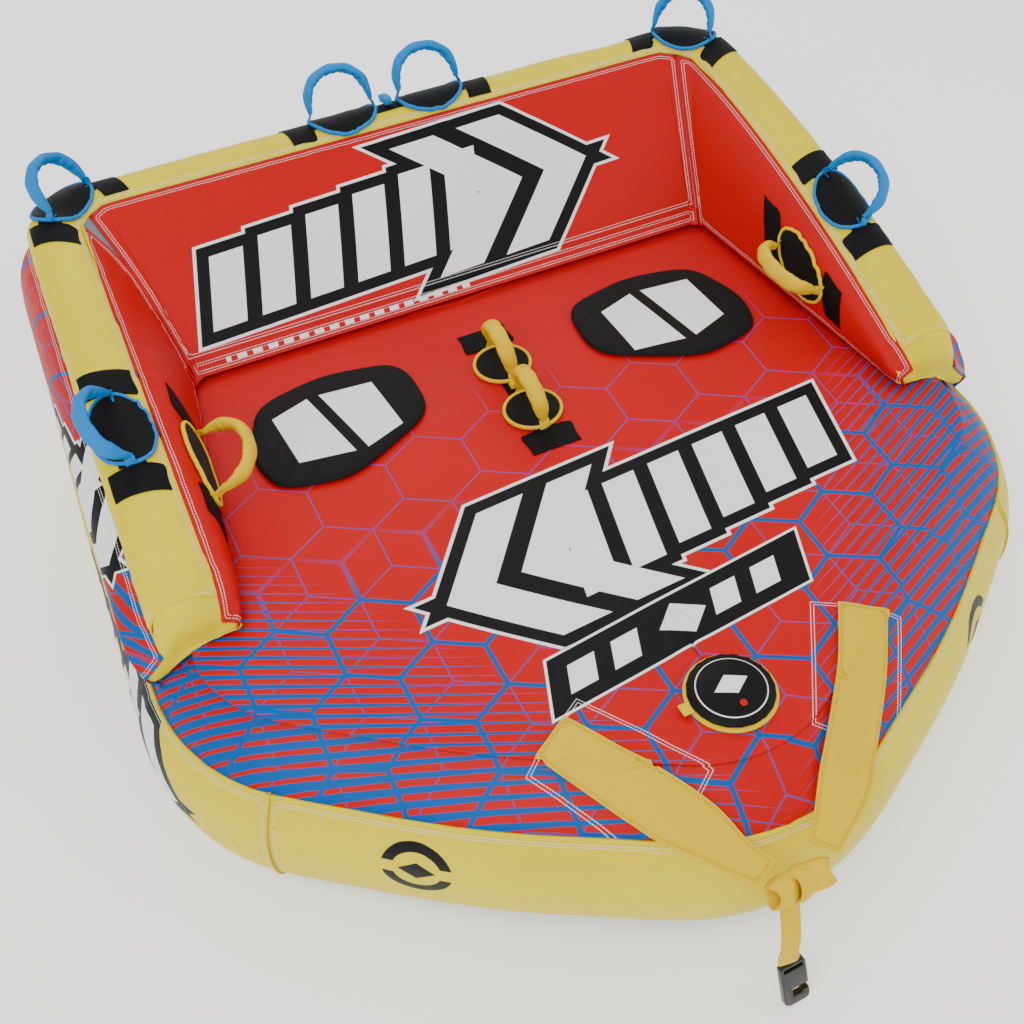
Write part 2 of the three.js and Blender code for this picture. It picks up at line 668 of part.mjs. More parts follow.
// A group on the line between two sewn ends, x along the line, z away from the cover, tipped by a lean.
function hingeFrame(cover, halfSpan, leanDegrees) {
  const from = cover(-halfSpan, 0, TAIL_RISE);
  const to = cover(halfSpan, 0, TAIL_RISE);
  const along = to.clone().sub(from).normalize();
  const away = cover(0, 0, 10).sub(cover(0, 0, 0));
  away.addScaledVector(along, -away.dot(along)).normalize();
  const sideways = away.clone().cross(along);
  const frame = new THREE.Group();
  frame.quaternion.setFromRotationMatrix(new THREE.Matrix4().makeBasis(along, sideways, away));
  frame.position.copy(from.clone().add(to).multiplyScalar(0.5));
  const tipped = new THREE.Group();
  tipped.rotation.x = radians(leanDegrees);
  frame.add(tipped);
  tube.add(frame);
  return { frame: tipped, halfLine: from.distanceTo(to) / 2 };
}

function addGrip(name, cover, colour, lean, halfSpan) {
  const { frame, halfLine } = hingeFrame(cover, halfSpan, lean);
  addPiece(name, gripBody(halfLine, GRIP_HEIGHT), colour, 0.7, frame);
}

function addPatches(name, cover, reach) {
  const webbing = strapOn(cover, patchRows(reach), COVER_GAP, COVER_GAP + STRAP_THICKNESS);
  addPiece(`${name}_patches`, webbing, COLOUR.black);
}

function addHandle(name, cover, colour, lean) {
  addPatches(name, cover, GRIP_SPAN / 2);
  addPiece(`${name}_guard`, guardOn(cover, GUARD_LENGTH, GUARD_WIDTH), COLOUR.black);
  addGrip(`${name}_grip`, cover, colour, lean, GRIP_SPAN / 2);
}

const RIM_MIDDLE = 1.4;
const INNER_MIDDLE = 0.42;
const sideOf = { right: (run) => run, left: (run) => 2 * boltRun - run };

Object.entries(sideOf).forEach(([side, runOn]) => {
  addHandle(side + "_side", boltCover(runOn(SIDE_HANDLE_FROM_TIP), RIM_MIDDLE), COLOUR.blue, 46);
  addHandle(side + "_corner", boltCover(runOn(cornerSplit), RIM_MIDDLE), COLOUR.blue, 34);
  addHandle(side + "_inner", boltCover(runOn(INNER_HANDLE_FROM_TIP), INNER_MIDDLE), COLOUR.yellow, 8);
});

// Two handles in line share one webbing. The sewn ends between them meet in a sleeve.
function addPair(name, sides, cover, spacing, colour, lean) {
  const halfSpan = Math.min(GRIP_SPAN / 2, (spacing - SLEEVE.length - 10) / 2);
  const guardLength = Math.min(GUARD_LENGTH, 2 * halfSpan - 10);
  addPatches(name, cover, spacing / 2 + halfSpan);
  sides.forEach((side, k) => {
    const offset = (k - 0.5) * spacing;
    const here = (along, across, height) => cover(along + offset, across, height);
    addPiece(`${name}_${side}_guard`, guardOn(here, guardLength, GUARD_WIDTH), COLOUR.black);
    addGrip(`${name}_${side}_grip`, here, colour, lean, halfSpan);
  });
  const sleeveRows = [-0.5, 0.5].map((share) => [share * SLEEVE.length, SLEEVE.width]);
  const low = STRAP_THICKNESS + 2 * COVER_GAP;
  addPiece(`${name}_sleeve`, strapOn(cover, sleeveRows, low, low + SLEEVE.height), colour);
}

addPair("back", ["right", "left"], boltCover(boltRun, RIM_MIDDLE), BACK_PAIR_SPACING, COLOUR.blue, 14);

// ---- Seat ----

const seatBackY = BACK_Y - REST_DEPTH;
const seatHalfWidth = sidelineX(seatBackY) - GUIDES.foot.rear; // middle to the foot of an arm
const deckPairCover = deckCover(0, seatBackY - DECK_PAIR_FROM_REST);
addPair("deck", ["front", "rear"], deckPairCover, DECK_PAIR_SPACING, COLOUR.yellow, -10);

// Corners of a seat pad, in shares of its half width and half depth.
const PAD_CORNERS = [
  [-1, -0.3],
  [0.12, -1],
  [0.9, -0.78],
  [1, -0.1],
  [0.72, 0.8],
  [-0.1, 1],
  [-0.97, 0.78],
];

function padOutline(halfWidth, halfDepth) {
  const corners = PAD_CORNERS.map(([x, y]) => new THREE.Vector2(x * halfWidth, y * halfDepth));
  const shape = new THREE.Path();
  const round = 0.22;
  corners.forEach((at, k) => {
    const before = corners.at(k - 1);
    const after = corners[(k + 1) % corners.length];
    const start = at.clone().lerp(before, round);
    const finish = at.clone().lerp(after, round);
    if (k === 0) shape.moveTo(start.x, start.y);
    else shape.lineTo(start.x, start.y);
    shape.quadraticCurveTo(at.x, at.y, finish.x, finish.y);
  });
  shape.closePath();
  return shape.getSpacedPoints(24).slice(0, -1);
}

function seatPad(side) {
  const inner = PAD_FROM_MIDDLE;
  const outer = seatHalfWidth - PAD_FROM_ARM;
  const halfWidth = (outer - inner) / 2;
  const middleX = side * (inner + halfWidth);
  const middleY = seatBackY - PAD_FROM_REST - PAD_DEPTH / 2;
  const flat = padOutline(halfWidth, PAD_DEPTH / 2);
  const ordered = side > 0 ? flat : flat.map((p) => new THREE.Vector2(-p.x, p.y)).reverse();
  const ring = (share, rise) => {
    const z = DECK_HEIGHT + LIE_GAP + rise * PAD_THICKNESS;
    return ordered.map((p) => vec(middleX + p.x * share, middleY + p.y * share, z));
  };
  return loopBody([ring(0.6, 0), ring(1, 0), ring(1, 0.5), ring(0.95, 1), ring(0.6, 1)]);
}
addPiece("right_seat_pad", seatPad(1), COLOUR.black);
addPiece("left_seat_pad", seatPad(-1), COLOUR.black);

// ---- Valve under its round flap ----

const valveY = FRONT_Y + VALVE_FROM_NOSE;
const valveCover = deckCover(0, valveY);

const drillBody = new THREE.CylinderGeometry(VALVE_HOLE_RADIUS, VALVE_HOLE_RADIUS, 60, 24);
const drill = solidOf(drillBody.rotateX(Math.PI / 2).translate(0, valveY, deckTop(0, valveY)));
const drilled = solidOf(deckSurface.geometry).subtract(drill);
addPiece("deck_panel", geometryOf(drilled), COLOUR.red);

// Frame of the valve, tipped to the slope of the deck there.
const valveFrame = new THREE.Group();
valveFrame.position.copy(valveCover(0, 0, 0));
const valveSlope = valveCover(VALVE_RING_RADIUS, 0, 0).sub(valveCover(-VALVE_RING_RADIUS, 0, 0));
valveFrame.rotation.x = Math.atan2(valveSlope.z, valveSlope.y);
tube.add(valveFrame);

const lathe = (profile, segments) =>
  new THREE.LatheGeometry(profile.map(([r, z]) => new THREE.Vector2(r, z)), segments).rotateX(Math.PI / 2);

const collarRadius = VALVE_HOLE_RADIUS - VALVE_CLEARANCE - 2;
const boreRadius = collarRadius * 0.6;
const collarFoot = -SKIN;
const collarTop = 5;
const collar = lathe(
  [
    [boreRadius, collarFoot],
    [collarRadius, collarFoot],
    [collarRadius, collarTop],
    [boreRadius, collarTop],
    [boreRadius, collarFoot],
  ],
  20,
);
addPiece("valve_collar", collar, COLOUR.black, 0.4, valveFrame);

const capRadius = collarRadius - 3;
const capBase = collarTop + VALVE_CLEARANCE;
const capTop = capBase + 3;
const plugRadius = boreRadius - VALVE_CLEARANCE;
const capDisc = lathe(
  [
    [0, 0],
    [plugRadius, 0],
    [plugRadius, capBase],
    [capRadius, capBase],
    [capRadius, capTop],
    [0, capTop],
  ],
  20,
);
const capTab = new THREE.BoxGeometry(capRadius * 1.2, 4, 6).translate(0, 0, capTop + 1);
addPiece("valve_cap", geometryOf(solidOf(capDisc).add(solidOf(capTab))), COLOUR.black, 0.4, valveFrame);

function valveRing() {
  const inner = (VALVE_RING_RADIUS - VALVE_RING_WIDTH) / VALVE_RING_RADIUS;
  const size = 2 * VALVE_RING_RADIUS;
  const ring = (share, height) => ovalRing(valveCover, size, size, share, height, 20);
  const first = ring(inner, COVER_GAP);
  const top = COVER_GAP + VALVE_RING_THICKNESS;
  return loopBody([first, ring(1, COVER_GAP), ring(1, top), ring(inner, top), first], false);
}
addPiece("valve_ring", valveRing(), COLOUR.yellow);

const flapBase = VALVE_RING_THICKNESS + COVER_GAP + 2;
const flapProfile = (offset, direction) => {
  const points = [];
  for (let i = 0; i <= 4; i += 1) {
    const share = direction > 0 ? i / 4 : 1 - i / 4;
    const rise = VALVE_FLAP_DOME * Math.cos((share * Math.PI) / 2) ** 0.6;
    points.push([VALVE_FLAP_RADIUS * share, flapBase + rise + offset]);
  }
  return points;
};
const flap = lathe([...flapProfile(0, 1), ...flapProfile(VALVE_FLAP_THICKNESS, -1)], 20);
addPiece("valve_flap", flap, COLOUR.black, 0.5, valveFrame);
const tabGap = 0.6;
const tab = new THREE.BoxGeometry(20, 24, 2);
tab.translate(-VALVE_FLAP_RADIUS - 10 - tabGap, 0, flapBase + VALVE_FLAP_THICKNESS / 2);
addPiece("valve_tab", tab, COLOUR.yellow, 0.6, valveFrame);

// ---- Tow harness ----

// Middle line of the right strap from its anchor: across, back from the nose, and height above the deck.
const anchorY = FRONT_Y + TOW_ANCHOR_FROM_NOSE;
const TOW_PATHS = {
  right: [
    [TOW_ANCHOR_X, anchorY, 4],
    [236, FRONT_Y + 222, 6],
    [158, FRONT_Y + 128, 10],
    [78, FRONT_Y + 42, 14],
    [8, FRONT_Y - 17, 22],
  ],
  left: [
    [-TOW_ANCHOR_X, anchorY, 4],
    [-244, FRONT_Y + 222, 6],
    [-184, FRONT_Y + 132, 10],
    [-132, FRONT_Y + 48, 14],
    [-98, FRONT_Y - 17, 22],
  ],
};

function towStrap(points) {
  const curve = new THREE.CatmullRomCurve3(points.map(([x, y, h]) => vec(x, y, h)), false, "centripetal");
  const steps = 14;
  const rows = [];
  for (let i = 0; i <= steps; i += 1) {
    const at = curve.getPointAt(i / steps);
    const along = curve.getTangentAt(i / steps).setZ(0).normalize();
    const across = vec(-along.y, along.x, 0);
    const width = TOW_WIDTH * lerp(1, 0.62, smoothstep(i / steps, 0.7, 1));
    const edges = [-0.5, -0.17, 0.17, 0.5].map((share) => at.clone().addScaledVector(across, share * width));
    const floor = Math.max(...edges.map((p) => deckTop(p.x, p.y)));
    rows.push({ edges, height: at.z, floor, near: 1 - smoothstep(i / steps, 0.55, 0.95) });
  }
  const grid = (lift) =>
    rows.map(({ edges, height, floor, near }) =>
      edges.map((p) => vec(p.x, p.y, lerp(floor, deckTop(p.x, p.y), near) + height + lift)),
    );
  return sheetBody(grid(0), grid(TOW_THICKNESS));
}
addPiece("right_tow_strap", towStrap(TOW_PATHS.right), COLOUR.gold);
addPiece("left_tow_strap", towStrap(TOW_PATHS.left), COLOUR.gold);

const knotPlace = vec(-48, FRONT_Y - 20 - KNOT.depth / 2, BASE_HEIGHT - 2);

function roundedSlab(width, depth, height, round) {
  const shape = new THREE.Shape();
  const [w, h] = [width / 2 - round, height / 2 - round];
  shape.absarc(w, h, round, 0, Math.PI / 2, false);
  shape.absarc(-w, h, round, Math.PI / 2, Math.PI, false);
  shape.absarc(-w, -h, round, Math.PI, 1.5 * Math.PI, false);
  shape.absarc(w, -h, round, 1.5 * Math.PI, 2 * Math.PI, false);
  const slab = new THREE.ExtrudeGeometry(shape, { depth, bevelEnabled: false, curveSegments: 5 });
  return slab.translate(0, 0, -depth / 2).rotateX(Math.PI / 2);
}
const knot = addPiece("tow_knot", roundedSlab(KNOT.width, KNOT.depth, KNOT.height, 20), COLOUR.gold);
knot.position.copy(knotPlace);

// The lead hangs from the knot to the connector, which stands on the ground.
const connectorTop = vec(-43, FRONT_Y - 75, 108);
const connectorFoot = vec(-36, FRONT_Y - 112, 4);
const plateUp = connectorTop.clone().sub(connectorFoot).normalize();
const leadTop = vec(-60, knotPlace.y, knotPlace.z - KNOT.height / 2 - LIE_GAP);
const hanging = (x, fromNose, share) => vec(x, FRONT_Y - fromNose, lerp(leadTop.z, connectorTop.z, share));
const LEAD_ROUTE = [
  leadTop,
  hanging(-60, FRONT_Y - leadTop.y, 0.08),
  hanging(-62, 62, 0.26),
  hanging(-70, 84, 0.45),
  hanging(-72, 92, 0.65),
  hanging(-62, 84, 0.82),
  connectorTop.clone().addScaledVector(plateUp, 16),
  connectorTop.clone(),
];
const oval = new THREE.Shape();
oval.absellipse(0, 0, LEAD_WIDTH / 2, LEAD_THICKNESS / 2, 0, 2 * Math.PI, false, 0);
const leadCurve = new THREE.CatmullRomCurve3(LEAD_ROUTE, false, "centripetal");
const leadSettings = { steps: 12, curveSegments: 5, extrudePath: leadCurve, bevelEnabled: false };
addPiece("tow_lead", new THREE.ExtrudeGeometry(oval, leadSettings), COLOUR.gold);

// The connector: a plate with a slot for the lead at its top and a side-entry hook for a rope below it.
function connectorBody() {
  const { width, length, thickness, slot, gate } = CONNECTOR;
  const plate = new THREE.Shape();
  const [w, top] = [width / 2, length];
  plate.moveTo(-w + 8, 0);
  plate.lineTo(w - 12, 0);
  plate.quadraticCurveTo(w, 0, w, 14);
  plate.lineTo(w, 26);
  plate.lineTo(w - 14, 26);
  plate.lineTo(w - 14, 20);
  plate.lineTo(-w + 18, 20);
  plate.lineTo(-w + 18, 20 + gate);
  plate.lineTo(w, 20 + gate);
  plate.lineTo(w, top - 6);
  plate.lineTo(w - 6, top);
  plate.lineTo(-w + 6, top);
  plate.lineTo(-w, top - 6);
  plate.lineTo(-w, 8);
  plate.closePath();
  const window = new THREE.Path();
  const [slotHalf, slotTop] = [w - 6, top - 8];
  window.moveTo(-slotHalf, slotTop - slot);
  window.lineTo(-slotHalf, slotTop);
  window.lineTo(slotHalf, slotTop);
  window.lineTo(slotHalf, slotTop - slot);
  window.closePath();
  plate.holes.push(window);
  const body = new THREE.ExtrudeGeometry(plate, { depth: thickness, bevelEnabled: false, curveSegments: 4 });
  return body.translate(0, 0, -thickness / 2).rotateX(Math.PI / 2);
}
const connector = addPiece("tow_connector", connectorBody(), COLOUR.black, 0.4);
const plateAcross = vec(1, 0, 0).addScaledVector(plateUp, -plateUp.x).normalize();
const plateOut = plateUp.clone().cross(plateAcross);
connector.quaternion.setFromRotationMatrix(new THREE.Matrix4().makeBasis(plateAcross, plateOut, plateUp));
connector.position.copy(connectorTop).addScaledVector(plateUp, -CONNECTOR.length - LIE_GAP);

// ---- Zip on the back wall ----

function zipTape() {
  const steps = 6;
  const places = [];
  for (let i = 0; i <= steps; i += 1) {
    const x = lerp(ZIP_HALF_LENGTH, -ZIP_HALF_LENGTH, i / steps);
    places.push(outlinePlace(1 - Math.abs(x) / halfRun, x < 0 ? -1 : 1));
  }
  const reach = THREE.MathUtils.radToDeg(ZIP_HEIGHT / BASE_HEIGHT);
  const row = (place, depth) => [-reach, 0, reach].map((angle) => wallPoint(place, angle, depth));
  const grid = (depth) => places.map((place) => row(place, depth));
  return sheetBody(grid(-LIE_GAP), grid(-LIE_GAP - 1.5));
}
addPiece("zip_tape", zipTape(), COLOUR.black);
const sliderBox = new THREE.BoxGeometry(ZIP_SLIDER.length, ZIP_SLIDER.depth, ZIP_SLIDER.height);
const sliderPull = new THREE.BoxGeometry(10, 2, 34).translate(0, 1, -16);
const slider = geometryOf(solidOf(sliderBox).add(solidOf(sliderPull)));
const zipSlider = addPiece("zip_slider", slider, COLOUR.grey, 0.3);
const sliderOut = BACK_Y + 1.5 + 2 * LIE_GAP + ZIP_SLIDER.depth / 2;
zipSlider.position.set(ZIP_HALF_LENGTH - ZIP_SLIDER.length, sliderOut, BASE_HEIGHT / 2);

export default tube;
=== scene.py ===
"""Two-rider towable deck tube: its looks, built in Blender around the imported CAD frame.

Metres. +X is across the tube, the nose points along -Y and +Z is up. The covers start from the CAD panels'
own points, are made smooth through them, and are then sewn: every seam pulls in and puckers the cloth.
"""
import json
import logging
import math
from collections.abc import Callable
from dataclasses import dataclass, field
from enum import Enum

import bmesh
import bpy
import numpy as np
from mathutils import Matrix, Vector, noise
from mathutils.bvhtree import BVHTree
from mathutils.kdtree import KDTree


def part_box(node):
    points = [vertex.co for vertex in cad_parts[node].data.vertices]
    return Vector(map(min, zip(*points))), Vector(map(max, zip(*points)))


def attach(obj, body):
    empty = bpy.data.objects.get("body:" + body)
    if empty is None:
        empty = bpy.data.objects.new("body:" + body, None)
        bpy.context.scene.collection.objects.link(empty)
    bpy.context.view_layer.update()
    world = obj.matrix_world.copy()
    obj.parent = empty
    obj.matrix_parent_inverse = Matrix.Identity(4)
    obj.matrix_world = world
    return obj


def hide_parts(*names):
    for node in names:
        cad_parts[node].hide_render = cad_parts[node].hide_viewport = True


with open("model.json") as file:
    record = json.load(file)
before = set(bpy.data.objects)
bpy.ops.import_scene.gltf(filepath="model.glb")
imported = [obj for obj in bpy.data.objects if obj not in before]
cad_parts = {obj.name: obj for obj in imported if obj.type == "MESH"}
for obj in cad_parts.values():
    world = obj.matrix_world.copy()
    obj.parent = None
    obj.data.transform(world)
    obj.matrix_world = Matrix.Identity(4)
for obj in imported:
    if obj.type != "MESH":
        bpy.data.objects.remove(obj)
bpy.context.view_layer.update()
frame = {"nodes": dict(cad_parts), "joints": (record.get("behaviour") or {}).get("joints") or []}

logging.basicConfig(level=logging.INFO, format="%(message)s")
log = logging.getLogger("towable_tube")

ROOT = "tube"
JOINTS = {joint["child"]: joint for joint in frame["joints"]}


class Tone(Enum):
    """Colours of the cloth, webbing and foam, as linear red, green and blue."""

    RED = (0.50, 0.0, 0.001)
    YELLOW = (0.74, 0.59, 0.0)
    GOLD = (0.76, 0.50, 0.0)
    PRINT_BLUE = (0.0, 0.085, 0.34)
    AMBER = (0.42, 0.22, 0.0)
    GRIP_BLUE = (0.0, 0.20, 0.56)
    BLACK = (0.0012, 0.0012, 0.0015)
    WHITE = (0.86, 0.86, 0.86)
    FILM = (0.16, 0.17, 0.19)
    STEEL = (0.25, 0.25, 0.26)


# ---- Node trees ----


class Wiring:
    """Short calls for building one node tree."""

    def __init__(self, tree: bpy.types.NodeTree) -> None:
        """Holds the tree that the calls add to."""
        self.tree = tree

    def add(self, kind: str, **settings: object) -> bpy.types.Node:
        """Adds a node.

        Args:
            kind: The node's type without its ShaderNode prefix.
            settings: Properties to set on it.

        Returns:
            The new node.
        """
        node = self.tree.nodes.new("ShaderNode" + kind)
        for name, value in settings.items():
            setattr(node, name, value)
        return node

    def feed(self, socket: bpy.types.NodeSocket, value: object) -> None:
        """Links a socket, or sets a plain value."""
        if isinstance(value, bpy.types.NodeSocket):
            self.tree.links.new(value, socket)
        else:
            socket.default_value = value

    def math(self, operation: str, *values: object, clamp: bool = False) -> bpy.types.NodeSocket:
        """A Math node on numbers or sockets."""
        node = self.add("Math", operation=operation, use_clamp=clamp)
        for socket, value in zip(node.inputs, values):
            self.feed(socket, value)
        return node.outputs[0]

    def vector(self, operation: str, *values: object, out: str = "Vector") -> bpy.types.NodeSocket:
        """A Vector Math node on vectors or sockets, and its Vector or Value output."""
        node = self.add("VectorMath", operation=operation)
        for socket, value in zip(node.inputs, values):
            self.feed(socket, value)
        return node.outputs[out]

    def ramp(self, value: object, start: float, stop: float) -> bpy.types.NodeSocket:
        """A smooth step from 0 at start to 1 at stop."""
        node = self.add("MapRange", interpolation_type="SMOOTHSTEP")
        for index, number in enumerate((value, start, stop, 0.0, 1.0)):
            self.feed(node.inputs[index], number)
        return node.outputs[0]

    def mix(self, factor: object, low: object, high: object) -> bpy.types.NodeSocket:
        """Mixes two colours, each a socket or red, green and blue."""
        node = self.add("Mix", data_type="RGBA")
        self.feed(node.inputs[0], factor)
        for socket, colour in ((node.inputs[6], low), (node.inputs[7], high)):
            plain = isinstance(colour, bpy.types.NodeSocket)
            self.feed(socket, colour if plain else (*colour, 1.0))
        return node.outputs[2]

    def separate(self, where: object, axis: int) -> bpy.types.NodeSocket:
        """One number of a vector."""
        node = self.add("SeparateXYZ")
        self.feed(node.inputs[0], where)
        return node.outputs[axis]

    def noise(self, where: object, scale: float, detail: float = 2.0) -> bpy.types.NodeSocket:
        """The value of a noise texture."""
        node = self.add("TexNoise")
        self.feed(node.inputs["Vector"], where)
        self.feed(node.inputs["Scale"], scale)
        self.feed(node.inputs["Detail"], detail)
        return node.outputs[0]

    def placed(self, where: object, origin: tuple, turn: tuple, scale: tuple = (1, 1, 1)) -> bpy.types.NodeSocket:
        """Coordinates in a frame that stands at an origin, turned and scaled."""
        node = self.add("Mapping", vector_type="TEXTURE")
        self.feed(node.inputs["Vector"], where)
        self.feed(node.inputs["Location"], origin)
        self.feed(node.inputs["Rotation"], turn)
        self.feed(node.inputs["Scale"], scale)
        return node.outputs[0]

    def group(self, tree: bpy.types.NodeTree, **inputs: object) -> bpy.types.Node:
        """Places a node group and feeds its inputs by name, with _ for a space."""
        node = self.add("Group")
        node.node_tree = tree
        for name, value in inputs.items():
            self.feed(node.inputs[name.replace("_", " ")], value)
        return node


def new_group(name: str, inputs: dict[str, float | None], outputs: list[str]) -> tuple:
    """Starts a shader node group.

    Args:
        name: The group's name.
        inputs: Default number of each input, or None for a vector.
        outputs: Names of its number outputs.

    Returns:
        Its tree, its wiring, its inputs by name and its output node.
    """
    tree = bpy.data.node_groups.new(name, "ShaderNodeTree")
    for title, default in inputs.items():
        kind = "NodeSocketVector" if default is None else "NodeSocketFloat"
        socket = tree.interface.new_socket(title, in_out="INPUT", socket_type=kind)
        if default is not None:
            socket.default_value = default
    for title in outputs:
        tree.interface.new_socket(title, in_out="OUTPUT", socket_type="NodeSocketFloat")
    source = tree.nodes.new("NodeGroupInput")
    sink = tree.nodes.new("NodeGroupOutput")
    return tree, Wiring(tree), source.outputs, sink


class Effects:
    """Node groups that several finishes share, each built once."""

    def __init__(self) -> None:
        """Builds every group."""
        self.weave = self._weave()
        self.stitch = self._stitch()
        self.wear = self._wear()
        self.hexagons = self._hexagons()

    @staticmethod
    def _weave() -> bpy.types.NodeTree:
        """Plain weave from map coordinates in metres: height of the threads, and a painted shade that darkens the
        colour in the gaps between them and lightens it a little on their tops.
        """
        tree, w, source, sink = new_group("plain_weave", {"Vector": None, "Threads": 900.0}, ["Height", "Shade"])
        scaled = w.vector("SCALE", source["Vector"])
        w.feed(scaled.node.inputs["Scale"], source["Threads"])
        parts = w.add("SeparateXYZ")
        w.feed(parts.inputs[0], scaled)
        warp = w.math("SINE", w.math("MULTIPLY", parts.outputs[0], math.tau))
        weft = w.math("SINE", w.math("MULTIPLY", parts.outputs[1], math.tau))
        height = w.math("MULTIPLY_ADD", w.math("MULTIPLY", warp, weft), 0.5, 0.5)
        w.feed(sink.inputs["Height"], height)
        # Painted shade and light: the colour goes from 0.88 in the gaps between the threads to 1.04 on their tops.
        w.feed(sink.inputs["Shade"], w.math("MULTIPLY_ADD", height, 0.16, 0.88))
        return tree

    @staticmethod
    def _stitch() -> bpy.types.NodeTree:
        """One row of stitches beside a seam, from the distance to it and the way along it."""
        sizes = {"Distance": 0.0, "Along": 0.0, "Offset": 0.008, "Pitch": 0.0056, "Thread": 0.0011}
        tree, w, source, sink = new_group("stitch_row", sizes, ["Mask"])
        off = w.math("ABSOLUTE", w.math("SUBTRACT", source["Distance"], source["Offset"]))
        across = w.math("SUBTRACT", 1.0, w.math("DIVIDE", off, source["Thread"]), clamp=True)
        phase = w.math("ABSOLUTE", w.math("SUBTRACT", w.math("FRACT", w.math("DIVIDE", source["Along"], source["Pitch"])), 0.5))
        dash = w.ramp(phase, 0.42, 0.34)
        w.feed(sink.inputs["Mask"], w.math("MULTIPLY", w.ramp(across, 0.0, 0.5), dash))
        return tree

    @staticmethod
    def _wear() -> bpy.types.NodeTree:
        """Uneven dye and rubbing: a shade for the colour and a roughness."""
        tree, w, source, sink = new_group("cloth_wear", {"Vector": None, "Roughness": 0.5}, ["Shade", "Roughness", "Crease"])
        broad = w.noise(source["Vector"], 5.0, 3.0)
        fine = w.noise(source["Vector"], 60.0, 4.0)
        crease = w.noise(source["Vector"], 16.0, 3.0)
        w.feed(sink.inputs["Shade"], w.math("MULTIPLY_ADD", broad, 0.14, w.math("MULTIPLY_ADD", fine, 0.08, 0.89)))
        w.feed(sink.inputs["Roughness"], w.math("MULTIPLY_ADD", w.math("SUBTRACT", fine, 0.5), 0.22, source["Roughness"]))
        w.feed(sink.inputs["Crease"], crease)
        return tree

    @staticmethod
    def _hexagons() -> bpy.types.NodeTree:
        """Hexagons with flats facing +X, split in three rhombi: bold outlines and fine spokes."""
        inputs = {"Vector": None, "Size": 0.16, "Bold": 0.0045, "Fine": 0.0014}
        tree, w, source, sink = new_group("hexagon_print", inputs, ["Outline", "Spoke"])
        half = (0.5, math.sqrt(3.0) / 2.0, 1.0)
        scaled = w.vector("DIVIDE", source["Vector"], w.add("CombineXYZ").outputs[0])
        combine = scaled.node.inputs[1].links[0].from_node
        for socket in combine.inputs:
            w.feed(socket, source["Size"])
        flat = w.vector("MULTIPLY", scaled, (1.0, 1.0, 0.0))
        low = tuple(-value for value in half)
        first = w.vector("WRAP", flat, half, low)
        second = w.vector("WRAP", w.vector("SUBTRACT", flat, (half[0], half[1], 0.0)), half, low)
        nearer = w.math(
            "LESS_THAN",
            w.vector("DOT_PRODUCT", first, first, out="Value"),
            w.vector("DOT_PRODUCT", second, second, out="Value"),
        )
        cell = w.add("Mix", data_type="VECTOR")
        w.feed(cell.inputs[0], nearer)
        w.feed(cell.inputs[4], second)
        w.feed(cell.inputs[5], first)
        local = cell.outputs[1]
        folded = w.vector("ABSOLUTE", local)
        slant = w.vector("DOT_PRODUCT", folded, (0.5, math.sqrt(3.0) / 2.0, 0.0), out="Value")
        upright = w.vector("DOT_PRODUCT", folded, (1.0, 0.0, 0.0), out="Value")
        edge = w.math("MULTIPLY", w.math("SUBTRACT", 0.5, w.math("MAXIMUM", slant, upright)), source["Size"])
        w.feed(sink.inputs["Outline"], w.ramp(w.math("DIVIDE", edge, source["Bold"]), 1.1, 0.9))
        spokes = []
        for turn in (90.0, 210.0, 330.0):
            angle = math.radians(turn)
            ahead = w.vector("DOT_PRODUCT", local, (math.cos(angle), math.sin(angle), 0.0), out="Value")
            aside = w.vector("DOT_PRODUCT", local, (-math.sin(angle), math.cos(angle), 0.0), out="Value")
            behind = w.math("LESS_THAN", ahead, 0.0)
            spokes.append(w.math("ADD", w.math("ABSOLUTE", aside), behind))
        nearest = w.math("MINIMUM", w.math("MINIMUM", spokes[0], spokes[1]), spokes[2])
        fine = w.math("DIVIDE", w.math("MULTIPLY", nearest, source["Size"]), source["Fine"])
        w.feed(sink.inputs["Spoke"], w.ramp(fine, 1.2, 0.8))
        return tree


@dataclass(frozen=True)
class Mark:
    """A printed mark of convex shapes, in metres around its own middle."""

    name: str
    shapes: tuple

    def group(self) -> bpy.types.NodeTree:
        """Builds the node group that gives the distance to the nearest shape, negative inside one."""
        tree, w, source, sink = new_group(self.name, {"Vector": None}, ["Distance"])
        parts = w.add("SeparateXYZ")
        w.feed(parts.inputs[0], source["Vector"])
        point = w.add("CombineXYZ")
        w.feed(point.inputs[0], parts.outputs[0])
        w.feed(point.inputs[1], parts.outputs[1])
        w.feed(point.inputs[2], 1.0)
        nearest = None
        for shape in self.shapes:
            depth = None
            for start, stop in zip(shape, shape[1:] + shape[:1]):
                run = Vector(stop) - Vector(start)
                out = Vector((run.y, -run.x)).normalized()
                plane = (out.x, out.y, -out.dot(Vector(start)))
                side = w.vector("DOT_PRODUCT", point.outputs[0], plane, out="Value")
                depth = side if depth is None else w.math("MAXIMUM", depth, side)
            nearest = depth if nearest is None else w.math("MINIMUM", nearest, depth)
        w.feed(sink.inputs["Distance"], nearest)
        return tree


def slanted(left: float, right: float, low: float, high: float, slant: float = 0.28) -> tuple:
    """A parallelogram that leans to the right, counter-clockwise from its lower left corner."""
    lean = slant * (high - low)
    return ((left, low), (right, low), (right + lean, high), (left + lean, high))


def racing_bars() -> tuple:
    """A row of slanted bars that grow towards a double chevron."""
    bars = []
    for index in range(6):
        left = -0.55 + index * 0.108
        top = 0.055 + 0.012 * index
        bars.append(slanted(left, left + 0.074, -0.115, top))
    for left in (0.10, 0.26):
        bars.append(slanted(left, left + 0.105, 0.0, 0.17, -0.9)[0:4])
        bars.append(slanted(left - 0.153, left - 0.048, -0.17, 0.0, 0.9))
    return tuple(bars)


# ---- Meshes ----


